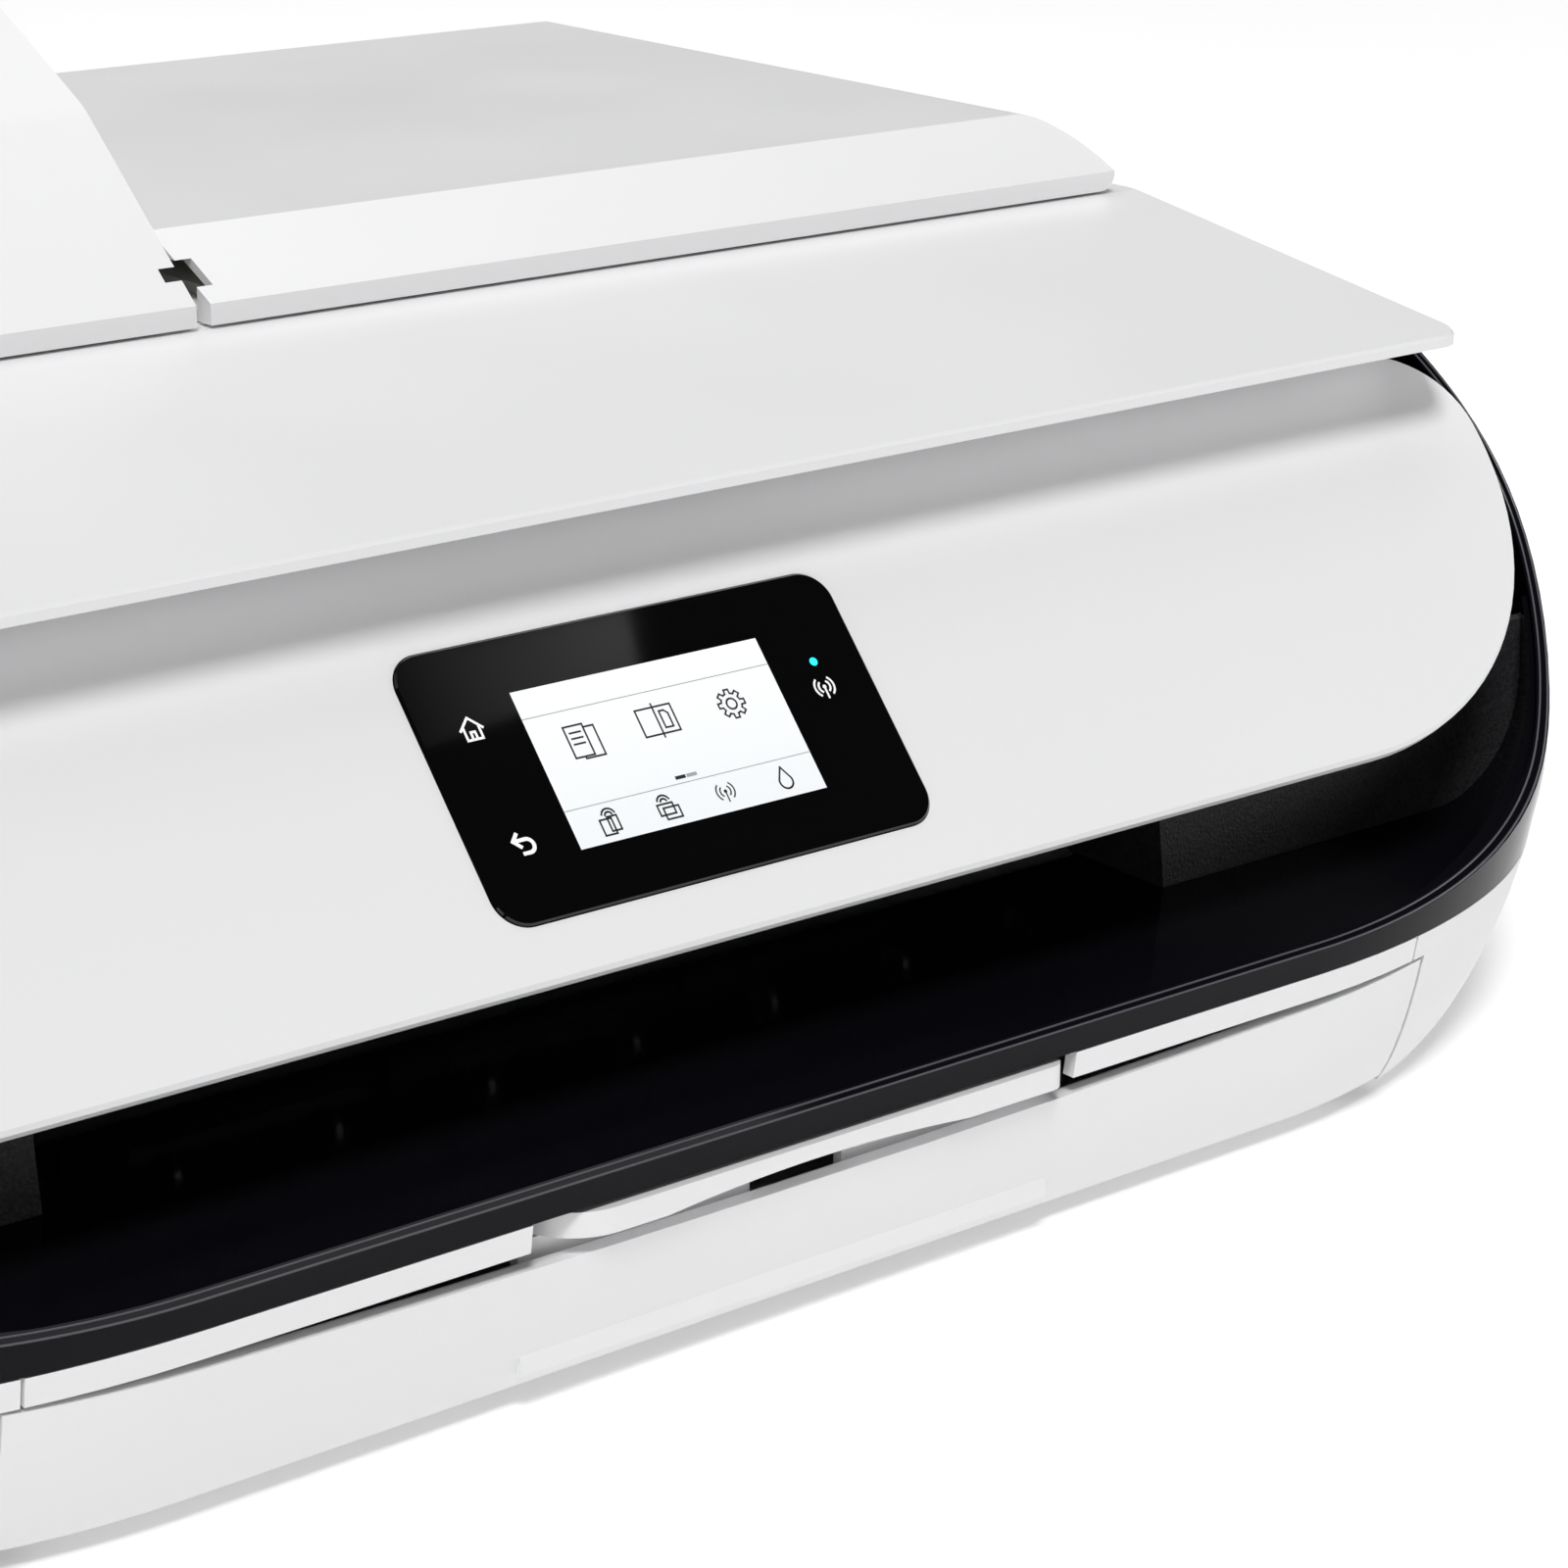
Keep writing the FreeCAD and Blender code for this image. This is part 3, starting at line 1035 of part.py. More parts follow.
def build_feeder():
    """Document feeder: base with bearing plates and input tray, the two hinged halves and the rollers."""
    top = feeder_low + max(height for _, height in cover_profile)
    cover = feeder_shell(-1, feeder_split, cover_profile, top)
    flap = feeder_shell(1, feeder_split + split_gap, flap_profile, flap_top)

    low = lid_rise_z + seam
    base = box(-feeder_base_half, feeder_base_half, feeder_base_front, feeder_base_back, low, low + 2)
    tray = box(-14, feeder_base_half - 6, feeder_base_front + 6, feeder_base_back - 6, low + 1.5, low + 4)
    ramp = profile_xz([(-50, low + 1.5), (-50, low + 9), (-42, low + 9), (-12, low + 3),
                       (-12, low + 1.5)], feeder_plate_y0 + 6, feeder_plate_y1 - 4)
    plates = []
    for y in (feeder_plate_y0, feeder_plate_y1):
        plate = box(drum_x - 26, feeder_pick_x() + 16, y, y + 2, low + 1, feeder_axis_z + 9)
        plates.append(round_edges(plate, 8, lambda e: is_along(e, "y") and e.CenterOfMass.z > feeder_axis_z))
    brackets = []
    for side in (-1, 1):
        axis_x = side * (feeder_half - feeder_hinge_inset)
        for y in bracket_y:
            x0, x1 = sorted((axis_x, side * (feeder_base_half - 3)))
            brackets.append(rod("y", y, y + bracket_width, axis_x, feeder_hinge_z, 3.0))
            brackets.append(box(x0, x1, y, y + bracket_width, low + 0.8, low + 2.8))
    base = join([base, tray, ramp] + plates + brackets)
    for side in (-1, 1):
        axis_x = side * (feeder_half - feeder_hinge_inset)
        base = base.cut(rod("y", -far, far, axis_x, feeder_hinge_z, 1.6 + shaft_clearance))
    for x in (drum_x, feeder_pick_x()):
        base = base.cut(rod("y", -far, far, x, feeder_axis_z, drive_shaft_radius + shaft_clearance))

    y0, y1 = feeder_plate_y0, feeder_plate_y1 + 2
    drum_gear = turned_to_y(spur_gear(drum_teeth, gear_width))
    pick_gear = turned_to_y(spur_gear(feeder_pick_teeth, gear_width, math.pi * (1 + 1 / feeder_pick_teeth)))
    drum = join([rod("y", y0 - 2, y1 + 7, drum_x, feeder_axis_z, drive_shaft_radius),
                 rod("y", y0 + 10, y1 - 12, drum_x, feeder_axis_z, drum_radius),
                 placed(drum_gear, drum_x, y1 + 1, feeder_axis_z)])
    pick = join([rod("y", y0 - 2, y1 + 7, feeder_pick_x(), feeder_axis_z, drive_shaft_radius),
                 rod("y", y0 + 48, y1 - 40, feeder_pick_x(), feeder_axis_z, feeder_pick_radius),
                 placed(pick_gear, feeder_pick_x(), y1 + 1, feeder_axis_z)])

    guide_low = low + 4 + gap
    guide_y = feeder_base_front + 16
    front_guide = box(6, 110, guide_y, guide_y + 2.5, guide_low, flap_top - feeder_skin - 1)
    front_foot = box(20, 96, guide_y + 2, guide_y + 24, guide_low, guide_low + 1.4)
    front_guide = join([front_guide, front_foot])
    middle = (feeder_base_front + feeder_base_back) / 2
    rear_guide = front_guide.mirror(Vector(0, middle, 0), Vector(0, 1, 0))
    return {"feeder_cover": cover, "feeder_flap": flap, "feeder_base": base, "feeder_drum": drum,
            "feeder_pick": pick, "feeder_guide_front": front_guide, "feeder_guide_rear": rear_guide}


def feeder_pick_x():
    return drum_x + gear_module * (drum_teeth + feeder_pick_teeth) / 2


# ================================================================ electronics, rear and fasteners
def build_electronics():
    """Main board with its ports, power supply with its inlet."""
    board_z = port_z0 - 1.8
    board = box(118, 196, board_y, back - trim_depth - 4, board_z, board_z + 1.6)
    chips = [box(x, x + size, y, y + size, board_z + 1.6, board_z + 3.4)
             for x, y, size in ((130, board_y + 30, 22), (166, board_y + 24, 14), (170, board_y + 60, 18))]
    cans = [rod("z", board_z + 1.6, board_z + 12, x, y, 4)
            for x, y in ((125, board_y + 70), (136, board_y + 72), (196, board_y + 50))]
    legs = [box(x, x + 4, y, y + 4, foot_height + wall + 0.1, board_z) for x in (tray_pan_half + 3, 188)
            for y in (board_y + 6, board_y + 90)]
    usb = box(port_x0 + 2, port_x0 + 15, back - 18, back - 0.6, port_z0 + 0.3, port_z0 + 12)
    usb = usb.cut(box(port_x0 + 4, port_x0 + 13, back - 12, far, port_z0 + 2, port_z0 + 10))
    jacks = []
    for x in (port_x0 + 20, port_x0 + 34):
        jack = box(x, x + 12, back - 18, back - 0.6, port_z0 + 0.3, port_z0 + 13)
        jacks.append(jack.cut(box(x + 2, x + 10, back - 12, far, port_z0 + 2, port_z0 + 10.5)))
    shield = box(port_x0 + seam, port_x1 - seam, back - 4, back - 2, port_z0 + seam, port_z1 - seam)
    for block in [usb] + jacks:
        b = block.BoundBox
        shield = shield.cut(box(b.XMin - 0.1, b.XMax + 0.1, -far, far, b.ZMin - 0.1, b.ZMax + 0.1))
    supply = box(-192, -146, back - 134, back - 34, foot_height + wall + 0.1, 76)
    supply = round_edges(supply, 3, lambda e: is_along(e, "y") and e.CenterOfMass.z > 50)
    slots = [box(-187, -151, y, y + 2, 74, 80) for y in [back - 120 + 8 * n for n in range(10)]]
    for cut in slots:
        supply = supply.cut(cut)
    socket = box(inlet_x0 + seam, inlet_x1 - seam, back - 33.5, back - 0.6, inlet_z0 + seam, inlet_z1 - seam)
    hollow = box(inlet_x0 + 3, inlet_x1 - 3, back - 16, far, inlet_z0 + 4, inlet_z1 - 4)
    mid_x, mid_z = (inlet_x0 + inlet_x1) / 2, (inlet_z0 + inlet_z1) / 2
    prongs = [rod("y", back - 17, back - 5, mid_x + s * 4.5, mid_z, 1.2) for s in (-1, 1)]
    return {"main_board": join([board] + chips + cans + legs), "ports": group([usb] + jacks),
            "port_shield": shield,
            "power_supply": supply, "power_inlet": join([socket.cut(hollow)] + prongs)}


def build_rear():
    """Rear jam door on its two stub pins."""
    y = back - 2.25
    z = rear_door_low + 2.5
    half = turn_half + 4 - gap
    plate = box(-half, half, y - 1.25, y + 1.25, rear_door_low + gap, rear_door_high - gap)
    ribs = [box(-half + 6, half - 6, y - 4, y - 1, z0, z0 + 1.5)
            for z0 in (rear_door_low + 10, rear_door_high - 8)]
    grip = box(-14, 14, y + 0.45, far, rear_door_high - 9, rear_door_high)
    pins = rod("x", -half - 3, half + 3, y, z, 1.2)
    return {"rear_door": join([plate.cut(grip), pins] + ribs)}


def rear_door_holes():
    reach = turn_half + 4
    y = back - 2.25
    return [rod("x", side * reach - 4.2, side * reach + 4.2, y, rear_door_low + 2.5, 1.2 + shaft_clearance)
            for side in (-1, 1)]


def screw(x, y, z, direction):
    """A small pan-head screw, its head's underside at the given place."""
    head = Part.makeCylinder(2.8, 1.6, Vector(0, 0, 0), Vector(0, 0, 1))
    head = round_edges(head, 0.7, lambda e: abs(e.CenterOfMass.z - 1.6) < 1e-6)
    for a, b in ((3.4, 0.7), (0.7, 3.4)):
        head = head.cut(box(-a / 2, a / 2, -b / 2, b / 2, 0.8, 3))
    if direction == "rear":
        head.rotate(Vector(0, 0, 0), Vector(1, 0, 0), -90)
    return placed(head, x, y, z)


def build_small():
    """Rubber feet and the two sets of screws."""
    feet = [rod("z", 0, foot_height, x, y, 8) for x in (-150, 150) for y in (front + 54, back - 44)]
    feet = [round_edges(f, 1, lambda e: abs(e.CenterOfMass.z) < 1e-6) for f in feet]
    rear = [screw(x, back - 1.8, z, "rear") for x, z in rear_screw_places]
    board_z = port_z0 - 0.2
    board = [screw(x, y, board_z, "up") for x in (tray_pan_half + 5, 190)
             for y in (board_y + 8, board_y + 92)]
    return {"feet": group(feet), "screws": group(rear + board)}


def main():
    os.makedirs("parts", exist_ok=True)
    builders = (build_base, build_housing, build_mouth, build_front_panel, build_display, build_tray,
                build_extender, build_tray_guides, build_drive, build_pick, build_chassis,
                build_platen, build_turn_guide, build_carriage, build_cartridges, build_belt,
                build_station, build_scanner, build_lid, build_feeder, build_electronics, build_rear,
                build_small)
    nodes = {}
    for build in builders:
        nodes.update(build())
    nodes["paper_tray"] = join([nodes["paper_tray"], guide_pivot()])
    for hole in rear_door_holes():
        nodes["body_housing"] = nodes["body_housing"].cut(hole)
    for name, shape in nodes.items():
        print(name, len(shape.Solids), round(shape.Volume / 1000, 1), shape.isValid())
        shape.exportStep("parts/" + name + ".step")


main()
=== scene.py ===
import bpy
import bmesh
import json
import math
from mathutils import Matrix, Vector


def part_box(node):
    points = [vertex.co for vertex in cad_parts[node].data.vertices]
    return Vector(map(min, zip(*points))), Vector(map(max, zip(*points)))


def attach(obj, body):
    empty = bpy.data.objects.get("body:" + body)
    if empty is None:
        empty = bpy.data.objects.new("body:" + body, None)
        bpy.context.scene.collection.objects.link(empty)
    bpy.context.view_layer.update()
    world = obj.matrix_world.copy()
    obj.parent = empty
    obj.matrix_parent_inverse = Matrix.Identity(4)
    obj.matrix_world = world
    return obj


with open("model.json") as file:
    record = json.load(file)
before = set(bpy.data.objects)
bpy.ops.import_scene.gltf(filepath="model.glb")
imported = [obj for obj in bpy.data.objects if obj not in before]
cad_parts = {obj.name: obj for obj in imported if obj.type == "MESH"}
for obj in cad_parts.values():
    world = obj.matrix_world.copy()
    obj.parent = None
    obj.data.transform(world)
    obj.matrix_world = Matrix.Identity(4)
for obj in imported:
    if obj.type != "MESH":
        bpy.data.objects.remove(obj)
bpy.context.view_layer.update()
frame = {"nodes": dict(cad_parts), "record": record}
nodes = frame["nodes"]
print("frame loaded with", len(nodes), "nodes")


# ---- material tools

def linear(hexColour):
    channels = [int(hexColour[i:i + 2], 16) / 255 for i in (1, 3, 5)]
    return tuple(c / 12.92 if c <= 0.04045 else ((c + 0.055) / 1.055) ** 2.4 for c in channels) + (1.0,)


def addNode(tree, kind, settings=None, links=None):
    # one node: settings are properties or socket values, links go from socket name to another node's output
    node = tree.nodes.new(kind)
    for name, value in (settings or {}).items():
        if name in node.inputs:
            node.inputs[name].default_value = value
        else:
            setattr(node, name, value)
    for name, output in (links or {}).items():
        tree.links.new(output, node.inputs[name])
    return node


def newMaterial(name, colour, roughness, **sockets):
    material = bpy.data.materials.new(name)
    material.use_nodes = True
    shader = material.node_tree.nodes["Principled BSDF"]
    shader.inputs["Base Color"].default_value = linear(colour)
    shader.inputs["Roughness"].default_value = roughness
    for socket, value in sockets.items():
        shader.inputs[socket.replace("_", " ")].default_value = value
    return material, material.node_tree, shader


def mmNoise(tree, sizeMm, detail=2.0, stretch=(1, 1, 1)):
    # noise whose cells are about sizeMm across, on the piece's own coordinates in metres
    place = addNode(tree, "ShaderNodeTexCoord")
    scaled = addNode(tree, "ShaderNodeMapping", {"Scale": [1000 / sizeMm * s for s in stretch]},
                     {"Vector": place.outputs["Object"]})
    return addNode(tree, "ShaderNodeTexNoise", {"Scale": 1.0, "Detail": detail},
                   {"Vector": scaled.outputs["Vector"]})


def addBump(tree, shader, height, strength, distanceMm):
    bump = addNode(tree, "ShaderNodeBump", {"Strength": strength, "Distance": distanceMm / 1000},
                   {"Height": height})
    tree.links.new(bump.outputs["Normal"], shader.inputs["Normal"])


def varyRoughness(tree, shader, sizeMm, low, high):
    # slow change of gloss, as handling and moulding flow leave it
    noise = mmNoise(tree, sizeMm)
    spread = addNode(tree, "ShaderNodeMapRange",
                     {"From Min": 0.3, "From Max": 0.7, "To Min": low, "To Max": high},
                     {"Value": noise.outputs["Fac"]})
    tree.links.new(spread.outputs["Result"], shader.inputs["Roughness"])


def varyColour(tree, shader, sizeMm, first, second, stretch=(1, 1, 1)):
    noise = mmNoise(tree, sizeMm, stretch=stretch)
    ramp = addNode(tree, "ShaderNodeValToRGB", {}, {"Fac": noise.outputs["Fac"]})
    ramp.color_ramp.elements[0].position = 0.35
    ramp.color_ramp.elements[0].color = linear(first)
    ramp.color_ramp.elements[1].position = 0.65
    ramp.color_ramp.elements[1].color = linear(second)
    tree.links.new(ramp.outputs["Color"], shader.inputs["Base Color"])


# ---- materials

def satinWhiteAbs():
    # moulded white ABS with a fine satin grain: soft wide highlights, no mirror image
    material, tree, shader = newMaterial("moulded satin white ABS", "#EEEEEF", 0.36, IOR=1.54)
    varyRoughness(tree, shader, 60, 0.33, 0.40)
    addBump(tree, shader, mmNoise(tree, 0.35, 3).outputs["Fac"], 0.12, 0.02)
    return material


def matWhiteHips():
    # plain moulded polystyrene of the inner white parts: duller and a little warmer
    material, tree, shader = newMaterial("moulded matt white HIPS", "#E2E2DE", 0.55, IOR=1.59)
    varyColour(tree, shader, 40, "#E4E4E0", "#DEDEDA")
    addBump(tree, shader, mmNoise(tree, 0.5, 3).outputs["Fac"], 0.25, 0.04)
    return material


def pianoBlackAbs():
    # polished black ABS: nearly a mirror, with faint slow change of gloss from handling
    material, tree, shader = newMaterial("polished black ABS", "#0C0C11", 0.08, IOR=1.54,
                                         Specular_IOR_Level=0.1)
    varyRoughness(tree, shader, 35, 0.06, 0.13)
    addBump(tree, shader, mmNoise(tree, 25, 1).outputs["Fac"], 0.05, 0.15)
    return material


def paintedHighlightBead():
    # moulded bead polished with the rim, its base colour painted mid grey as a highlight, so that it reads as
    # hairlines
    material, tree, shader = newMaterial("bead grey as painted highlight", "#55555B", 0.22, IOR=1.54)
    varyRoughness(tree, shader, 8, 0.18, 0.27)
    return material


def sparkErodedAbs():
    # spark-eroded dark grey ABS: rough grain about half a millimetre across that glints
    material, tree, shader = newMaterial("spark eroded grey ABS", "#2B2B2E", 0.5, IOR=1.54)
    varyColour(tree, shader, 0.6, "#202022", "#38383B")
    addBump(tree, shader, mmNoise(tree, 0.6, 4).outputs["Fac"], 0.9, 0.25)
    return material


def coverGlass():
    # black-printed cover glass of the display: flat and very smooth
    material, tree, shader = newMaterial("black printed cover glass", "#030304", 0.03, IOR=1.52)
    varyRoughness(tree, shader, 20, 0.02, 0.05)
    return material


def litDisplay():
    # lit display showing a near-white page, a touch darker towards its lower edge
    material, tree, shader = newMaterial("lit display page", "#E6E8E9", 0.25, IOR=1.5, Emission_Strength=0.32)
    place = addNode(tree, "ShaderNodeTexCoord")
    split = addNode(tree, "ShaderNodeSeparateXYZ", {}, {"Vector": place.outputs["Object"]})
    low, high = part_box("display_bezel")
    fade = addNode(tree, "ShaderNodeMapRange", {"From Min": low[2], "From Max": high[2]},
                   {"Value": split.outputs["Z"]})
    ramp = addNode(tree, "ShaderNodeValToRGB", {}, {"Fac": fade.outputs["Result"]})
    ramp.color_ramp.elements[0].color = linear("#D9DCDE")
    ramp.color_ramp.elements[1].color = linear("#EDEEEF")
    tree.links.new(ramp.outputs["Color"], shader.inputs["Base Color"])
    tree.links.new(ramp.outputs["Color"], shader.inputs["Emission Color"])
    return material


def greyAcetal(name="moulded grey acetal", colour="#6E7074"):
    # waxy engineering plastic of guides and latches
    material, tree, shader = newMaterial(name, colour, 0.42, IOR=1.48)
    varyRoughness(tree, shader, 12, 0.36, 0.5)
    addBump(tree, shader, mmNoise(tree, 0.6, 2).outputs["Fac"], 0.2, 0.05)
    return material


def naturalAcetal():
    # milky gears: light goes a little way in
    material, tree, shader = newMaterial("natural acetal", "#E6E2D6", 0.38, IOR=1.48, Subsurface_Weight=0.15)
    shader.inputs["Subsurface Radius"].default_value = (0.002, 0.002, 0.0015)
    varyColour(tree, shader, 9, "#E8E4D8", "#DEDACC")
    return material


def groundRubber():
    # ground roller rubber: dull, with fine rings of grain round the roller
    material, tree, shader = newMaterial("ground roller rubber", "#2A2A2C", 0.7, IOR=1.52)
    varyColour(tree, shader, 1.2, "#242426", "#323235", (1, 0.3, 0.3))
    addBump(tree, shader, mmNoise(tree, 0.5, 3).outputs["Fac"], 0.5, 0.08)
    return material


def mouldedRubber():
    # soft black rubber of feet and caps: dusty matt
    material, tree, shader = newMaterial("moulded black rubber", "#1C1C1D", 0.82, IOR=1.52)
    varyColour(tree, shader, 3, "#191919", "#262627")
    addBump(tree, shader, mmNoise(tree, 0.7, 3).outputs["Fac"], 0.4, 0.1)
    return material


def beltRubber():
    # toothed belt: fine ribs across its width
    material, tree, shader = newMaterial("neoprene belt", "#151516", 0.6, IOR=1.52)
    place = addNode(tree, "ShaderNodeTexCoord")
    wave = addNode(tree, "ShaderNodeTexWave", {"Scale": 1000 / 2.03 / 6.283 * 3.1416},
                   {"Vector": place.outputs["Object"]})
    addBump(tree, shader, wave.outputs["Fac"], 0.8, 0.4)
    return material


def galvanisedSteel():
    # zinc-coated sheet: soft spangles some 6 mm across
    material, tree, shader = newMaterial("galvanised sheet steel", "#B9BCC0", 0.35, Metallic=1.0)
    place = addNode(tree, "ShaderNodeTexCoord")
    cells = addNode(tree, "ShaderNodeTexVoronoi", {"Scale": 1000 / 6.0}, {"Vector": place.outputs["Object"]})
    ramp = addNode(tree, "ShaderNodeValToRGB", {}, {"Fac": cells.outputs["Color"]})
    ramp.color_ramp.elements[0].color = linear("#A9ACB0")
    ramp.color_ramp.elements[1].color = linear("#C6C9CC")
    tree.links.new(ramp.outputs["Color"], shader.inputs["Base Color"])
    varyRoughness(tree, shader, 8, 0.28, 0.45)
    return material


def turnedSteel(name="ground steel rod", colour="#C2C3C5", roughness=0.2):
    # ground steel: narrow bright lines along it
    material, tree, shader = newMaterial(name, colour, roughness, Metallic=1.0)
    addBump(tree, shader, mmNoise(tree, 0.6, 2, (0.05, 1, 1)).outputs["Fac"], 0.25, 0.03)
    varyRoughness(tree, shader, 15, roughness * 0.8, roughness * 1.4)
    return material


def zincMotorCan():
    # drawn zinc-plated motor can: satin with drawing lines along it
    material, tree, shader = newMaterial("zinc plated motor can", "#A8AAAD", 0.38, Metallic=1.0)
    addBump(tree, shader, mmNoise(tree, 0.8, 2, (0.1, 1, 1)).outputs["Fac"], 0.3, 0.04)
    varyRoughness(tree, shader, 10, 0.3, 0.48)
    return material


def machinedBrass():
    # pinion, bright turned faces
    material, tree, shader = newMaterial("machined brass", "#C9A45A", 0.28, Metallic=1.0)
    addBump(tree, shader, mmNoise(tree, 0.4, 2).outputs["Fac"], 0.2, 0.03)
    return material


def mattBlackAbs():
    # inner black structure: matt mould grain
    material, tree, shader = newMaterial("moulded matt black ABS", "#1B1B1D", 0.52, IOR=1.54)
    varyColour(tree, shader, 30, "#18181A", "#202022")
    addBump(tree, shader, mmNoise(tree, 0.6, 3).outputs["Fac"], 0.35, 0.07)
    return material


def cartridgePet():
    # cartridge body: smoother black with a soft sheen
    material, tree, shader = newMaterial("moulded cartridge PET", "#202124", 0.3, IOR=1.57)
    varyRoughness(tree, shader, 9, 0.24, 0.38)
    return material


def clearFilm():
    # encoder film: thin grey polyester with fine dark lines too close to see singly
    material, tree, shader = newMaterial("polyester encoder film", "#7C7E84", 0.15, IOR=1.6)
    place = addNode(tree, "ShaderNodeTexCoord")
    wave = addNode(tree, "ShaderNodeTexWave", {"Scale": 160.0}, {"Vector": place.outputs["Object"]})
    ramp = addNode(tree, "ShaderNodeValToRGB", {}, {"Fac": wave.outputs["Fac"]})
    ramp.color_ramp.elements[0].color = linear("#5E6066")
    ramp.color_ramp.elements[1].color = linear("#8F9197")
    tree.links.new(ramp.outputs["Color"], shader.inputs["Base Color"])
    return material


def floatGlass():
    # flatbed glass: clear, faintly green, seen mostly by its reflections
    material, tree, shader = newMaterial("float glass", "#DFE9E4", 0.02, IOR=1.52, Transmission_Weight=0.9)
    varyRoughness(tree, shader, 50, 0.01, 0.03)
    return material


def padFilm():
    # white polyester film over foam: bright and slightly uneven
    material, tree, shader = newMaterial("white film on foam", "#F1F1EE", 0.5, IOR=1.5)
    addBump(tree, shader, mmNoise(tree, 14, 2).outputs["Fac"], 0.2, 0.4)
    varyRoughness(tree, shader, 30, 0.42, 0.55)
    return material


def solderMask():
    # green solder mask over copper tracks about 0.8 mm apart
    material, tree, shader = newMaterial("solder mask on copper", "#1E5A38", 0.3, IOR=1.5)
    place = addNode(tree, "ShaderNodeTexCoord")
    cells = addNode(tree, "ShaderNodeTexVoronoi", {"Scale": 1000 / 5.0, "distance": "MANHATTAN"},
                    {"Vector": place.outputs["Object"]})
    ramp = addNode(tree, "ShaderNodeValToRGB", {}, {"Fac": cells.outputs["Distance"]})
    ramp.color_ramp.elements[0].color = linear("#174A2D")
    ramp.color_ramp.elements[1].color = linear("#2B7048")
    tree.links.new(ramp.outputs["Color"], shader.inputs["Base Color"])
    return material


def tinnedSteel():
    # port shells, bright and thin
    material, tree, shader = newMaterial("tinned steel", "#C3C5C7", 0.3, Metallic=1.0)
    varyRoughness(tree, shader, 4, 0.22, 0.4)
    return material


finishes = {
    "white_shell": satinWhiteAbs(), "white_inner": matWhiteHips(), "gloss_black": pianoBlackAbs(),
    # the bead finish is a painted highlight: a grey base colour on beads of the black rim
    "bead_painted_highlight": paintedHighlightBead(),
    "textured_grey": sparkErodedAbs(), "display_glass": coverGlass(), "display_face": litDisplay(),
    "grey_plastic": greyAcetal(), "acetal": naturalAcetal(), "roller_rubber": groundRubber(),
    "pinion_brass": machinedBrass(), "motor_steel": zincMotorCan(), "dark_plastic": mattBlackAbs(),
    "galvanised": galvanisedSteel(), "star_steel": turnedSteel("stamped spring steel", "#C8C9CB", 0.3),
    "cartridge_case": cartridgePet(), "belt_rubber": beltRubber(),
    "pulley_metal": turnedSteel("turned aluminium", "#CFD0D2", 0.26), "clear_film": clearFilm(),
    "soft_rubber": mouldedRubber(), "rod_steel": turnedSteel(), "flat_glass": floatGlass(), "pad_foam": padFilm(),
    "board": solderMask(), "port_metal": tinnedSteel(),
    "screw_steel": turnedSteel("zinc plated screw", "#A9ABAD", 0.34),
}
for part in frame["record"]["subparts"]:
    piece = nodes[part["node"]]
    for index in range(max(1, len(piece.material_slots))):
        if piece.material_slots:
            piece.material_slots[index].material = finishes[part["material_slot"]]
print("finishes given to the frame's nodes")


# ---- display page and marks

panelPlace = {"y": -0.144, "z": 0.089, "tilt": 47.5}      # middle of the display, and the panel's slope in degrees
marks = {
    "lift": 0.00056,        # marks stand this far out of the panel's plane
    "pageWidth": 48.4, "pageHeight": 28.0,
    "line": 0.32,           # stroke width in mm
}


def onPanel(u, v, w):
    tilt = math.radians(panelPlace["tilt"])
    return Vector((u, panelPlace["y"] + v * math.cos(tilt) - w * math.sin(tilt),
                   panelPlace["z"] + v * math.sin(tilt) + w * math.cos(tilt)))


def flatPiece(name, outlines, lift, material, body):
    # flat pieces on the panel; outlines are lists of (u, v) in mm
    mesh = bpy.data.meshes.new(name)
    bm = bmesh.new()
    for outline in outlines:
        corners = [bm.verts.new(onPanel(u / 1000, v / 1000, lift)) for u, v in outline]
        face = bm.faces.new(corners)
        face.normal_update()
    bmesh.ops.recalc_face_normals(bm, faces=bm.faces)
    outward = onPanel(0, 0, 1) - onPanel(0, 0, 0)
    for face in bm.faces:
        if face.normal.dot(outward) < 0:
            face.normal_flip()
    bm.to_mesh(mesh)
    bm.free()
    piece = bpy.data.objects.new(name, mesh)
    bpy.context.collection.objects.link(piece)
    mesh.materials.append(material)
    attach(piece, body)
    return piece


def stroke(points, width, closed=False):
    # a ribbon along points, one quad for each straight run
    runs = list(zip(points, points[1:] + points[:1] if closed else points[1:]))
    quads = []
    for (x0, y0), (x1, y1) in runs:
        dx, dy = x1 - x0, y1 - y0
        length = math.hypot(dx, dy) or 1
        ax, ay = dx / length * width / 2, dy / length * width / 2
        quads.append([(x0 - ax - ay, y0 - ay + ax), (x0 - ax + ay, y0 - ay - ax),
                      (x1 + ax + ay, y1 + ay - ax), (x1 + ax - ay, y1 + ay + ax)])
    return quads


def arc(x, y, radius, start, end, steps=14):
    return [(x + radius * math.cos(math.radians(start + (end - start) * n / steps)),
             y + radius * math.sin(math.radians(start + (end - start) * n / steps))) for n in range(steps + 1)]


def rectangle(x0, y0, x1, y1):
    return [(x0, y0), (x1, y0), (x1, y1), (x0, y1)]


def moved(quads, x, y):
    return [[(u + x, v + y) for u, v in quad] for quad in quads]


def houseIcon(width):
    roof = stroke([(-2.0, -0.1), (0, 1.9), (2.0, -0.1)], width)
    walls = stroke([(-1.4, 0.2), (-1.4, -1.9), (1.4, -1.9), (1.4, 0.2)], width)
    door = stroke([(-0.4, -1.9), (-0.4, -0.6), (0.4, -0.6), (0.4, -1.9)], width)
    return roof + walls + door


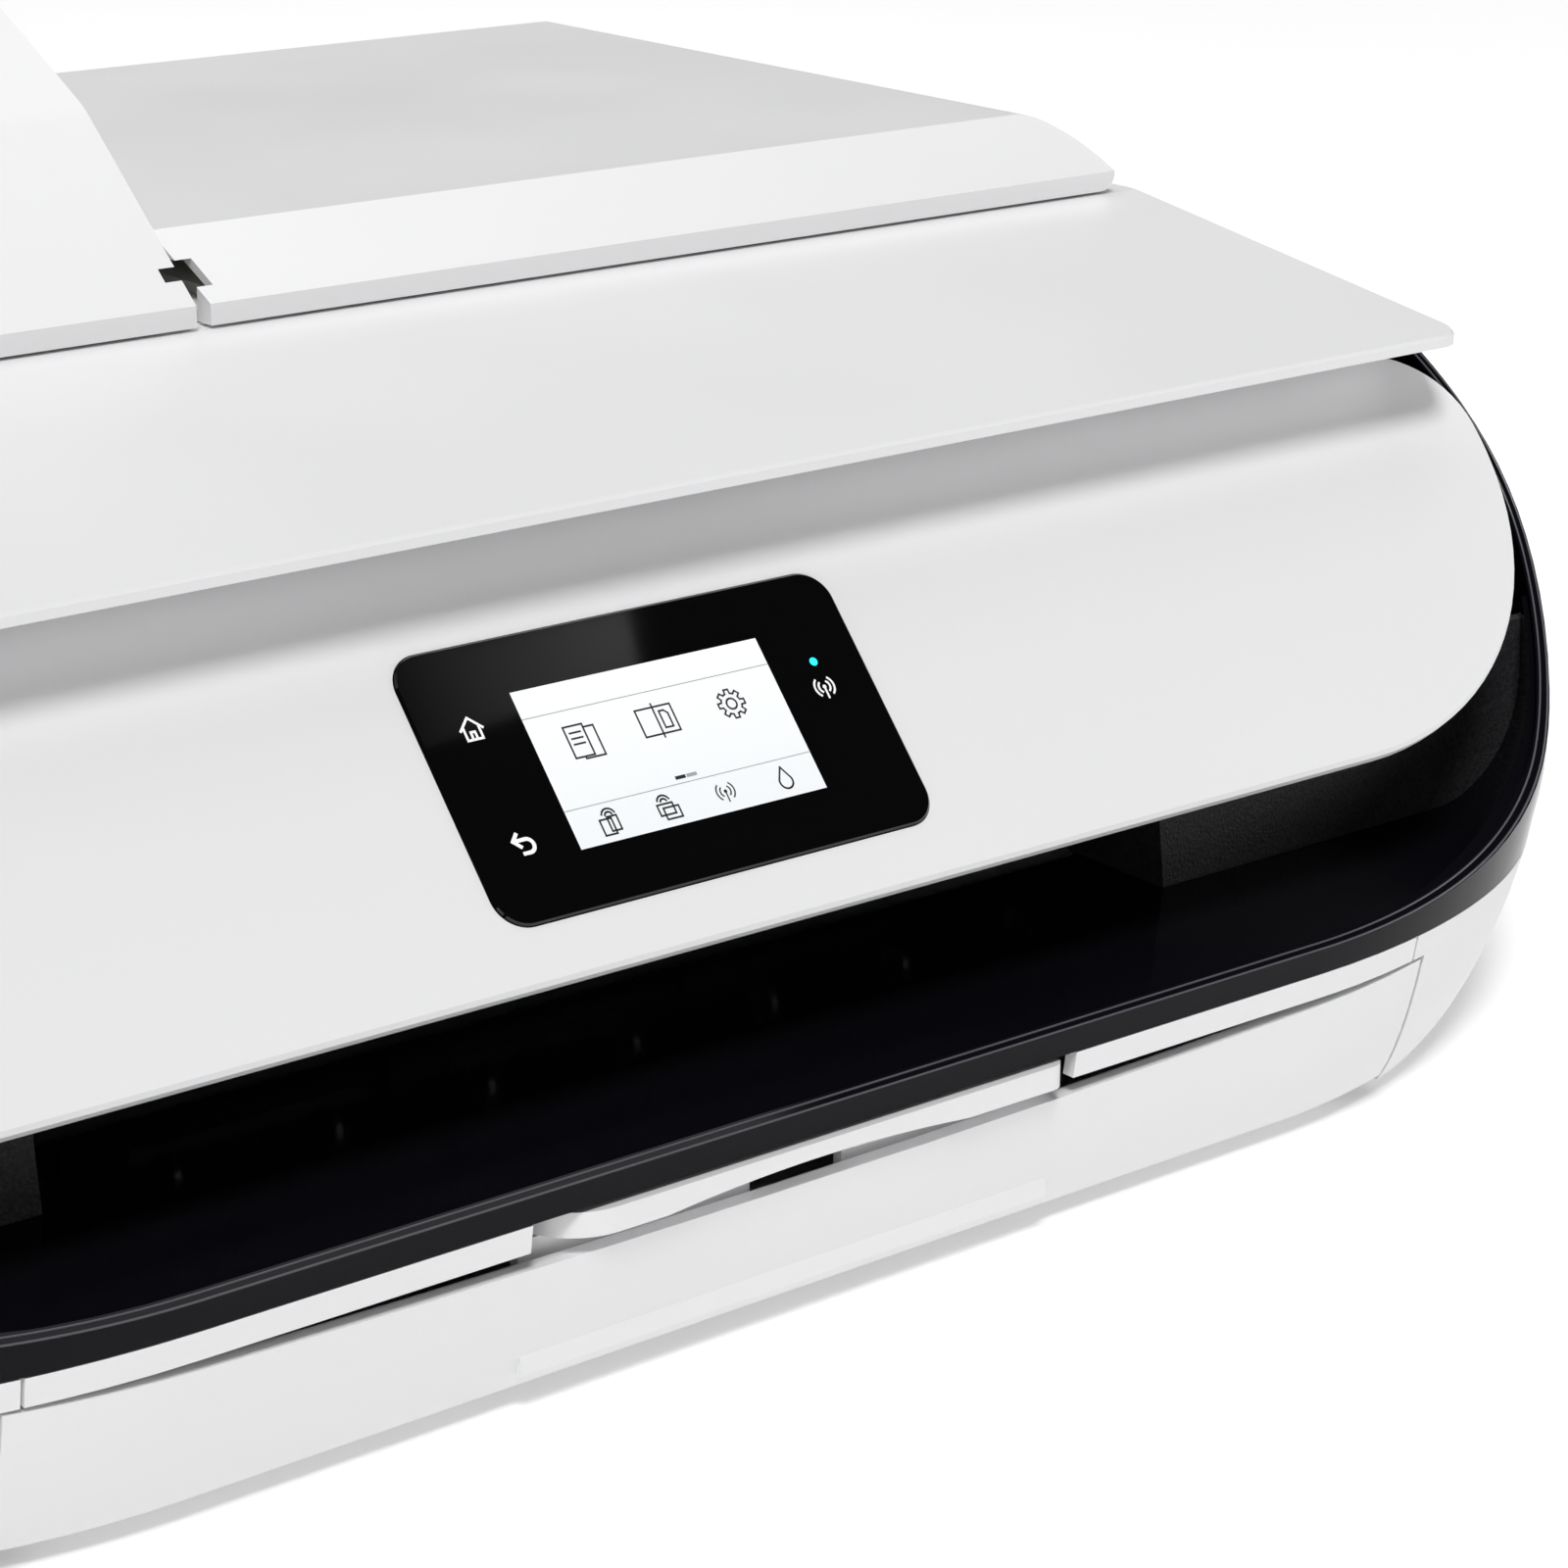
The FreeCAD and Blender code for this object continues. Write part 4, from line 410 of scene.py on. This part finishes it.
def backIcon(width):
    hook = arc(0.4, -0.3, 1.15, 90, -90, 10)
    shaft = stroke([(-1.7, 0.85), (0.4, 0.85)], width)
    tail = stroke([(0.4, -1.45), (-0.6, -1.45)], width)
    head = stroke([(-0.8, 1.9), (-1.8, 0.85), (-0.8, -0.2)], width)
    return shaft + stroke(hook, width) + tail + head


def antennaIcon(width, reach=1.0):
    quads = stroke([(0, -1.7 * reach), (0, 0.3 * reach)], width)
    quads += [arc(0, 0.3 * reach, 0.36 * reach, 0, 330, 11)]
    for radius in (1.1, 1.9):
        quads += stroke(arc(0, 0.3 * reach, radius * reach, -48, 48, 8), width)
        quads += stroke(arc(0, 0.3 * reach, radius * reach, 132, 228, 8), width)
    return quads


def copyIcon(width):
    front = stroke(rectangle(-2.6, -2.9, 1.0, 2.6), width, True)
    behind = stroke([(1.0, 2.0), (2.9, 2.0), (2.9, -3.3), (-0.8, -3.3), (-0.8, -2.9)], width)
    lines = [q for y in (1.4, 0.4, -0.6) for q in stroke([(-1.8, y), (0.2, y)], width)]
    return front + behind + lines


def scanIcon(width):
    frameLine = stroke(rectangle(-3.4, -2.4, 3.4, 2.4), width, True)
    middle = stroke([(0, -3.0), (0, 3.0)], width)
    page = stroke([(0.9, -1.5), (2.4, -1.5), (2.4, 0.9), (1.8, 1.5), (0.9, 1.5)], width, True)
    return frameLine + middle + page


def gearIcon(width):
    outline = []
    for n in range(8):
        for share, radius in ((-0.32, 1.9), (-0.2, 2.6), (0.2, 2.6), (0.32, 1.9)):
            angle = (n + share) * math.pi / 4
            outline.append((radius * math.cos(angle), radius * math.sin(angle)))
    return stroke(outline, width, True) + stroke(arc(0, 0, 0.95, 0, 360, 16), width)


def tabletIcon(width):
    page = stroke(rectangle(-1.7, -1.9, 0.5, 0.8), width, True)
    page += stroke(rectangle(-0.2, -1.4, 1.6, 1.1), width, True)
    return page + stroke(arc(0.3, 1.2, 0.7, 20, 160, 6), width) + stroke(arc(0.3, 1.2, 1.3, 20, 160, 6), width)


def pictureIcon(width):
    page = stroke(rectangle(-1.9, -1.0, 1.0, 0.9), width, True)
    page += stroke(rectangle(-1.0, -1.8, 1.9, 0.2), width, True)
    page += stroke(arc(-0.4, 1.2, 0.6, 20, 160, 6), width)
    return page + stroke(arc(-0.4, 1.2, 1.2, 20, 160, 6), width)


def dropIcon(width):
    outline = [(0, 2.1)] + arc(0, -0.5, 1.25, 28, -208, 16)
    return stroke(outline, width, True)


def makeDisplay():
    ink = newMaterial("display ink", "#2C2E31", 0.3)[0]
    pale = newMaterial("display pale ink", "#A8ACB0", 0.3)[0]
    white = newMaterial("printed white mark", "#F4F4F4", 0.4, Emission_Strength=0.25)[0]
    white.node_tree.nodes["Principled BSDF"].inputs["Emission Color"].default_value = linear("#FFFFFF")
    lamp = newMaterial("cyan indicator lens", "#2FD2E6", 0.3, Emission_Strength=1.2)[0]
    lamp.node_tree.nodes["Principled BSDF"].inputs["Emission Color"].default_value = linear("#22CFE8")
    w, h, line = marks["pageWidth"] / 2, marks["pageHeight"] / 2, marks["line"]
    flatPiece("display_page", [rectangle(-w, -h, w, h)], marks["lift"], finishes["display_face"], "panel")
    dark = moved(copyIcon(line), -15.3, 3.7) + moved(scanIcon(line), -0.6, 3.9)
    dark += moved(gearIcon(line), 14.1, 3.8)
    dark += moved(tabletIcon(line), -17.2, -10.9) + moved(pictureIcon(line), -5.9, -10.9)
    dark += moved(antennaIcon(line * 0.8, 0.9), 5.5, -10.7) + moved(dropIcon(line), 17.3, -10.8)
    dark += stroke([(-2.0, -6.3), (-0.6, -6.3)], 0.6)
    flatPiece("display_icons", dark, marks["lift"] + 0.00003, ink, "panel")
    faint = stroke([(-w, 9.1), (w, 9.1)], 0.14) + stroke([(-w, -7.35), (w, -7.35)], 0.14)
    faint += stroke([(0.2, -6.3), (1.6, -6.3)], 0.6)
    flatPiece("display_lines", faint, marks["lift"] + 0.00003, pale, "panel")
    printed = moved(houseIcon(0.42), -33.4, 9.6) + moved(backIcon(0.62), -33.3, -10.9)
    printed += moved(antennaIcon(0.36), 32.8, 2.7)
    flatPiece("bezel_marks", printed, marks["lift"], white, "panel")
    flatPiece("status_light", [arc(33.0, 7.7, 0.75, 0, 345, 23)], marks["lift"], lamp, "panel")


makeDisplay()
print("display page, icons and indicator made")


# ---- pieces grown with geometry nodes

def growPiece(name, mesh, tree, inputs, body):
    # runs a node tree over a mesh of paths and keeps the result as a plain mesh
    source = bpy.data.objects.new(name + "_path", mesh)
    bpy.context.collection.objects.link(source)
    modifier = source.modifiers.new("grow", "NODES")
    modifier.node_group = tree
    for socket in tree.interface.items_tree:
        if socket.item_type == "SOCKET" and socket.name in inputs:
            modifier[socket.identifier] = inputs[socket.name]
    graph = bpy.context.evaluated_depsgraph_get()
    grown = bpy.data.meshes.new_from_object(source.evaluated_get(graph), depsgraph=graph)
    source.modifiers.remove(modifier)
    bpy.data.objects.remove(source)
    piece = bpy.data.objects.new(name, grown)
    bpy.context.collection.objects.link(piece)
    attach(piece, body)
    return piece


def growTree(name, inputs):
    # an empty tree with a geometry in and out, and the named inputs with their socket kinds
    tree = bpy.data.node_groups.new(name, "GeometryNodeTree")
    tree.interface.new_socket("Geometry", in_out="INPUT", socket_type="NodeSocketGeometry")
    for title, kind in inputs.items():
        tree.interface.new_socket(title, in_out="INPUT", socket_type=kind)
    tree.interface.new_socket("Geometry", in_out="OUTPUT", socket_type="NodeSocketGeometry")
    return tree, addNode(tree, "NodeGroupInput").outputs


def endTree(tree, geometry, material):
    real = addNode(tree, "GeometryNodeRealizeInstances", {}, {"Geometry": geometry})
    given = addNode(tree, "GeometryNodeSetMaterial", {"Material": material},
                    {"Geometry": real.outputs["Geometry"]})
    addNode(tree, "NodeGroupOutput", {}, {"Geometry": given.outputs["Geometry"]})


def pathMesh(name, paths):
    points, edges = [], []
    for path in paths:
        edges += [(len(points) + n, len(points) + n + 1) for n in range(len(path) - 1)]
        points += path
    mesh = bpy.data.meshes.new(name)
    mesh.from_pydata(points, edges, [])
    return mesh


rim = {"halfWidth": 0.2225, "front": -0.184, "across": 0.1125, "deep": 0.079, "frontZ": 0.039,
       "clearance": 0.0146, "bend": 0.077, "top": 0.1212,
       "insets": (0.00045, 0.0019), "beadRadius": 0.00022, "beadSides": 10, "sink": 0.00002,
       "steps": 120, "cornerStarts": 0.3, "cornerEnds": 0.8, "sideRun": 0.02}     # shares of the half rim
barrel = {"low": 0.052, "high": 0.080, "sideTuck": 0.030, "frontTuck": 0.014, "fullness": 1.6,
          "shoulder": 0.020, "rise": 0.046}


def tuckIn(share, amount, power):
    share = min(1.0, max(0.0, share))
    return amount * (1 - (1 - share ** power) ** (1 / power))


def barrelInsets(z):
    # how far the side and the front of the body have come in at height z
    below, above = (barrel["low"] - z) / barrel["low"], (z - barrel["high"]) / barrel["rise"]
    side = tuckIn(above, barrel["shoulder"], 2)
    if below > 0:
        side = tuckIn(below, barrel["sideTuck"], barrel["fullness"])
    return side, tuckIn(below, barrel["frontTuck"], barrel["fullness"])


def rimHeight(y):
    # the rim line seen from the side: a flat run, a bend, then parallel to the front panel
    tilt = math.radians(panelPlace["tilt"])
    slope, out = Vector((math.cos(tilt), math.sin(tilt))), Vector((-math.sin(tilt), math.cos(tilt)))
    onAxis = Vector((panelPlace["y"], panelPlace["z"])) + out * (rim["bend"] - rim["clearance"])
    toStart = Vector((rim["front"], rim["frontZ"])) - onAxis
    along = toStart.dot(slope)
    reach = math.sqrt(rim["bend"] ** 2 - (toStart - slope * along).length ** 2)
    centre = onAxis + slope * (along + reach)
    if centre.x > rim["front"]:
        centre = onAxis + slope * (along - reach)
    tangent = centre - out * rim["bend"]
    if y < centre.x:
        return centre.y - rim["bend"]
    if y < tangent.x:
        return centre.y - math.sqrt(rim["bend"] ** 2 - (y - centre.x) ** 2)
    return tangent.y + (y - tangent.x) * slope.y / slope.x


def rimPath(inset):
    # half of the rim from the middle of the front round the corner and up the side, mirrored to the other half
    half = []
    starts, ends = rim["cornerStarts"], rim["cornerEnds"]
    for step in range(rim["steps"] + 1):
        share = step / rim["steps"]
        z = rim["frontZ"]
        for settling in range(6):     # height and insets depend on each other
            side, ahead = (value + inset for value in barrelInsets(z))
            across, deep = rim["across"] - side, rim["deep"] - ahead
            cornerX, cornerY = rim["halfWidth"] - side - across, rim["front"] + ahead + deep
            if share < starts:
                x, y = cornerX * share / starts, cornerY - deep
            elif share < ends:
                turn = (share - starts) / (ends - starts) * math.pi / 2
                x, y = cornerX + across * math.sin(turn), cornerY - deep * math.cos(turn)
            else:
                x, y = cornerX + across, cornerY + (share - ends) / (1 - ends) * rim["sideRun"]
            z = rimHeight(y) - rim["sink"]
        if z > rim["top"]:
            break
        half.append((x, y, z))
    return [(-x, y, z) for x, y, z in reversed(half[1:])] + half


def makeRimBeads():
    # two fine raised beads along the rim of the black housing, coloured grey as painted highlights and catching
    # the light, so they read as hairlines
    tree, given = growTree("swept bead", {"Bead Radius": "NodeSocketFloat", "Bead Sides": "NodeSocketInt"})
    line = addNode(tree, "GeometryNodeMeshToCurve", {}, {"Mesh": given["Geometry"]})
    ring = addNode(tree, "GeometryNodeCurvePrimitiveCircle", {},
                   {"Radius": given["Bead Radius"], "Resolution": given["Bead Sides"]})
    swept = addNode(tree, "GeometryNodeCurveToMesh", {"Fill Caps": True},
                    {"Curve": line.outputs["Curve"], "Profile Curve": ring.outputs["Curve"]})
    endTree(tree, swept.outputs["Mesh"], finishes["bead_painted_highlight"])
    paths = pathMesh("rim_paths", [rimPath(inset) for inset in rim["insets"]])
    beads = growPiece("rim_beads", paths, tree,
                      {"Bead Radius": rim["beadRadius"], "Bead Sides": rim["beadSides"]}, "body")
    for face in beads.data.polygons:
        face.use_smooth = True


belt = {"y": -0.0525, "innerHalf": 0.00502, "low": 0.0815, "width": 0.005, "half": 0.186, "pitch": 0.002,
        "toothDepth": 0.0005, "toothLength": 0.0009}


def makeBeltTeeth():
    # moulded teeth inside both runs of the carriage belt
    tree, given = growTree("belt teeth", {"Pitch": "NodeSocketFloat", "Tooth": "NodeSocketVector"})
    line = addNode(tree, "GeometryNodeMeshToCurve", {}, {"Mesh": given["Geometry"]})
    spaced = addNode(tree, "GeometryNodeResampleCurve", {"mode": "LENGTH"},
                     {"Curve": line.outputs["Curve"], "Length": given["Pitch"]})
    tooth = addNode(tree, "GeometryNodeMeshCube", {}, {"Size": given["Tooth"]})
    teeth = addNode(tree, "GeometryNodeInstanceOnPoints", {},
                    {"Points": spaced.outputs["Curve"], "Instance": tooth.outputs["Mesh"]})
    endTree(tree, teeth.outputs["Instances"], finishes["belt_rubber"])
    depth = belt["innerHalf"] - belt["toothDepth"] / 2
    runs = [[(-belt["half"], belt["y"] + side * depth, belt["low"] + belt["width"] / 2),
             (belt["half"], belt["y"] + side * depth, belt["low"] + belt["width"] / 2)] for side in (-1, 1)]
    size = (belt["toothLength"], belt["toothDepth"], belt["width"] * 0.96)
    growPiece("belt_teeth", pathMesh("belt_runs", runs), tree, {"Pitch": belt["pitch"], "Tooth": size},
              "body")


makeRimBeads()
makeBeltTeeth()
print("rim beads and belt teeth grown")


# ---- floor, light and camera

def makeFloor():
    mesh = bpy.data.meshes.new("floor")
    reach = 40.0
    mesh.from_pydata([(-reach, -reach, 0), (reach, -reach, 0), (reach, reach, 0), (-reach, reach, 0)], [],
                     [(0, 1, 2, 3)])
    floor = bpy.data.objects.new("floor", mesh)
    bpy.context.collection.objects.link(floor)
    material, tree, shader = newMaterial("pale floor", "#F7F7F7", 0.8, Emission_Strength=0.22)
    shader.inputs["Emission Color"].default_value = linear("#FFFFFF")
    varyColour(tree, shader, 900, "#F8F8F8", "#F4F4F4")
    mesh.materials.append(material)


def softPanel(name, position, target, width, height, power, colour="#FFFFFF"):
    light = bpy.data.lights.new(name, "AREA")
    light.shape = "RECTANGLE"
    light.size, light.size_y = width, height
    light.energy = power
    light.color = linear(colour)[:3]
    lamp = bpy.data.objects.new(name, light)
    bpy.context.collection.objects.link(lamp)
    lamp.location = position
    lamp.rotation_euler = (Vector(target) - Vector(position)).to_track_quat("-Z", "Y").to_euler()
    return lamp


studio = {
    "worldColour": "#FFFFFF", "worldStrength": 0.04,
    "sun": {"comesFrom": (-0.30, -0.42, 0.86), "strength": 2.0, "spread": 16},     # spread in degrees
    "panels": [
        {"name": "overhead softbox", "position": (0.1, 0.55, 1.9), "target": (0, -0.05, 0.1), "width": 2.4,
         "height": 1.6, "power": 19},
        {"name": "front left softbox", "position": (-1.5, -1.9, 0.7), "target": (0, -0.1, 0.06),
         "width": 1.6, "height": 0.9, "power": 4.5},
        {"name": "right strip", "position": (1.35, -0.75, 0.36), "target": (0.2, -0.05, 0.08), "width": 0.5,
         "height": 0.5, "power": 2.5},
    ],
    "card": {"corners": [(-44, 24), (3.5, 24), (0.4, 13.2), (-44, 8)], "reach": 2.9, "near": 0.9, "far": 0.08},
}
view = {"place": (-0.3563, -0.6296, 0.2871), "forward": (0.5828, 0.7459, -0.3224), "lens": 91.67}


def makeSun(comesFrom, strength, spread):
    light = bpy.data.lights.new("sun", "SUN")
    light.energy = strength
    light.angle = math.radians(spread)
    lamp = bpy.data.objects.new("sun", light)
    bpy.context.collection.objects.link(lamp)
    lamp.rotation_euler = Vector(comesFrom).to_track_quat("Z", "Y").to_euler()


def makeCard(corners, reach, near, far):
    # a lit card whose mirror image is the pale patch on the display glass; it fades towards the left
    middle, outward = onPanel(0, 0, 0.0005), onPanel(0, 0, 1) - onPanel(0, 0, 0)
    eye = Vector(view["place"])
    mirroredEye = eye - outward * 2 * (eye - middle).dot(outward)
    places = [mirroredEye + (onPanel(u / 1000, v / 1000, 0.0005) - mirroredEye) * reach for u, v in corners]
    mesh = bpy.data.meshes.new("reflection card")
    mesh.from_pydata(places, [], [(0, 1, 2, 3)])
    card = bpy.data.objects.new("reflection_card", mesh)
    bpy.context.collection.objects.link(card)
    material, tree, shader = newMaterial("lit card", "#000000", 1.0)
    place = addNode(tree, "ShaderNodeTexCoord")
    split = addNode(tree, "ShaderNodeSeparateXYZ", {}, {"Vector": place.outputs["Object"]})
    fade = addNode(tree, "ShaderNodeMapRange",
                   {"From Min": min(p.x for p in places), "From Max": max(p.x for p in places),
                                                "To Min": far, "To Max": near}, {"Value": split.outputs["X"]})
    shader.inputs["Emission Color"].default_value = linear("#FFFFFF")
    tree.links.new(fade.outputs["Result"], shader.inputs["Emission Strength"])
    mesh.materials.append(material)


makeFloor()
world = bpy.data.worlds.new("studio") if bpy.context.scene.world is None else bpy.context.scene.world
bpy.context.scene.world = world
world.use_nodes = True
world.node_tree.nodes["Background"].inputs["Color"].default_value = linear(studio["worldColour"])
world.node_tree.nodes["Background"].inputs["Strength"].default_value = studio["worldStrength"]
makeSun(**studio["sun"])
makeCard(**studio["card"])
for panel in studio["panels"]:
    softPanel(**panel)
camera = bpy.data.cameras.new("camera")
camera.lens = view["lens"]
camera.sensor_width = 36
camera.clip_start = 0.01
cameraObject = bpy.data.objects.new("camera", camera)
bpy.context.collection.objects.link(cameraObject)
cameraObject.location = view["place"]
cameraObject.rotation_euler = Vector(view["forward"]).to_track_quat("-Z", "Y").to_euler()
bpy.context.scene.camera = cameraObject
bpy.context.scene.view_settings.view_transform = "Standard"
print("floor, lights and camera placed")
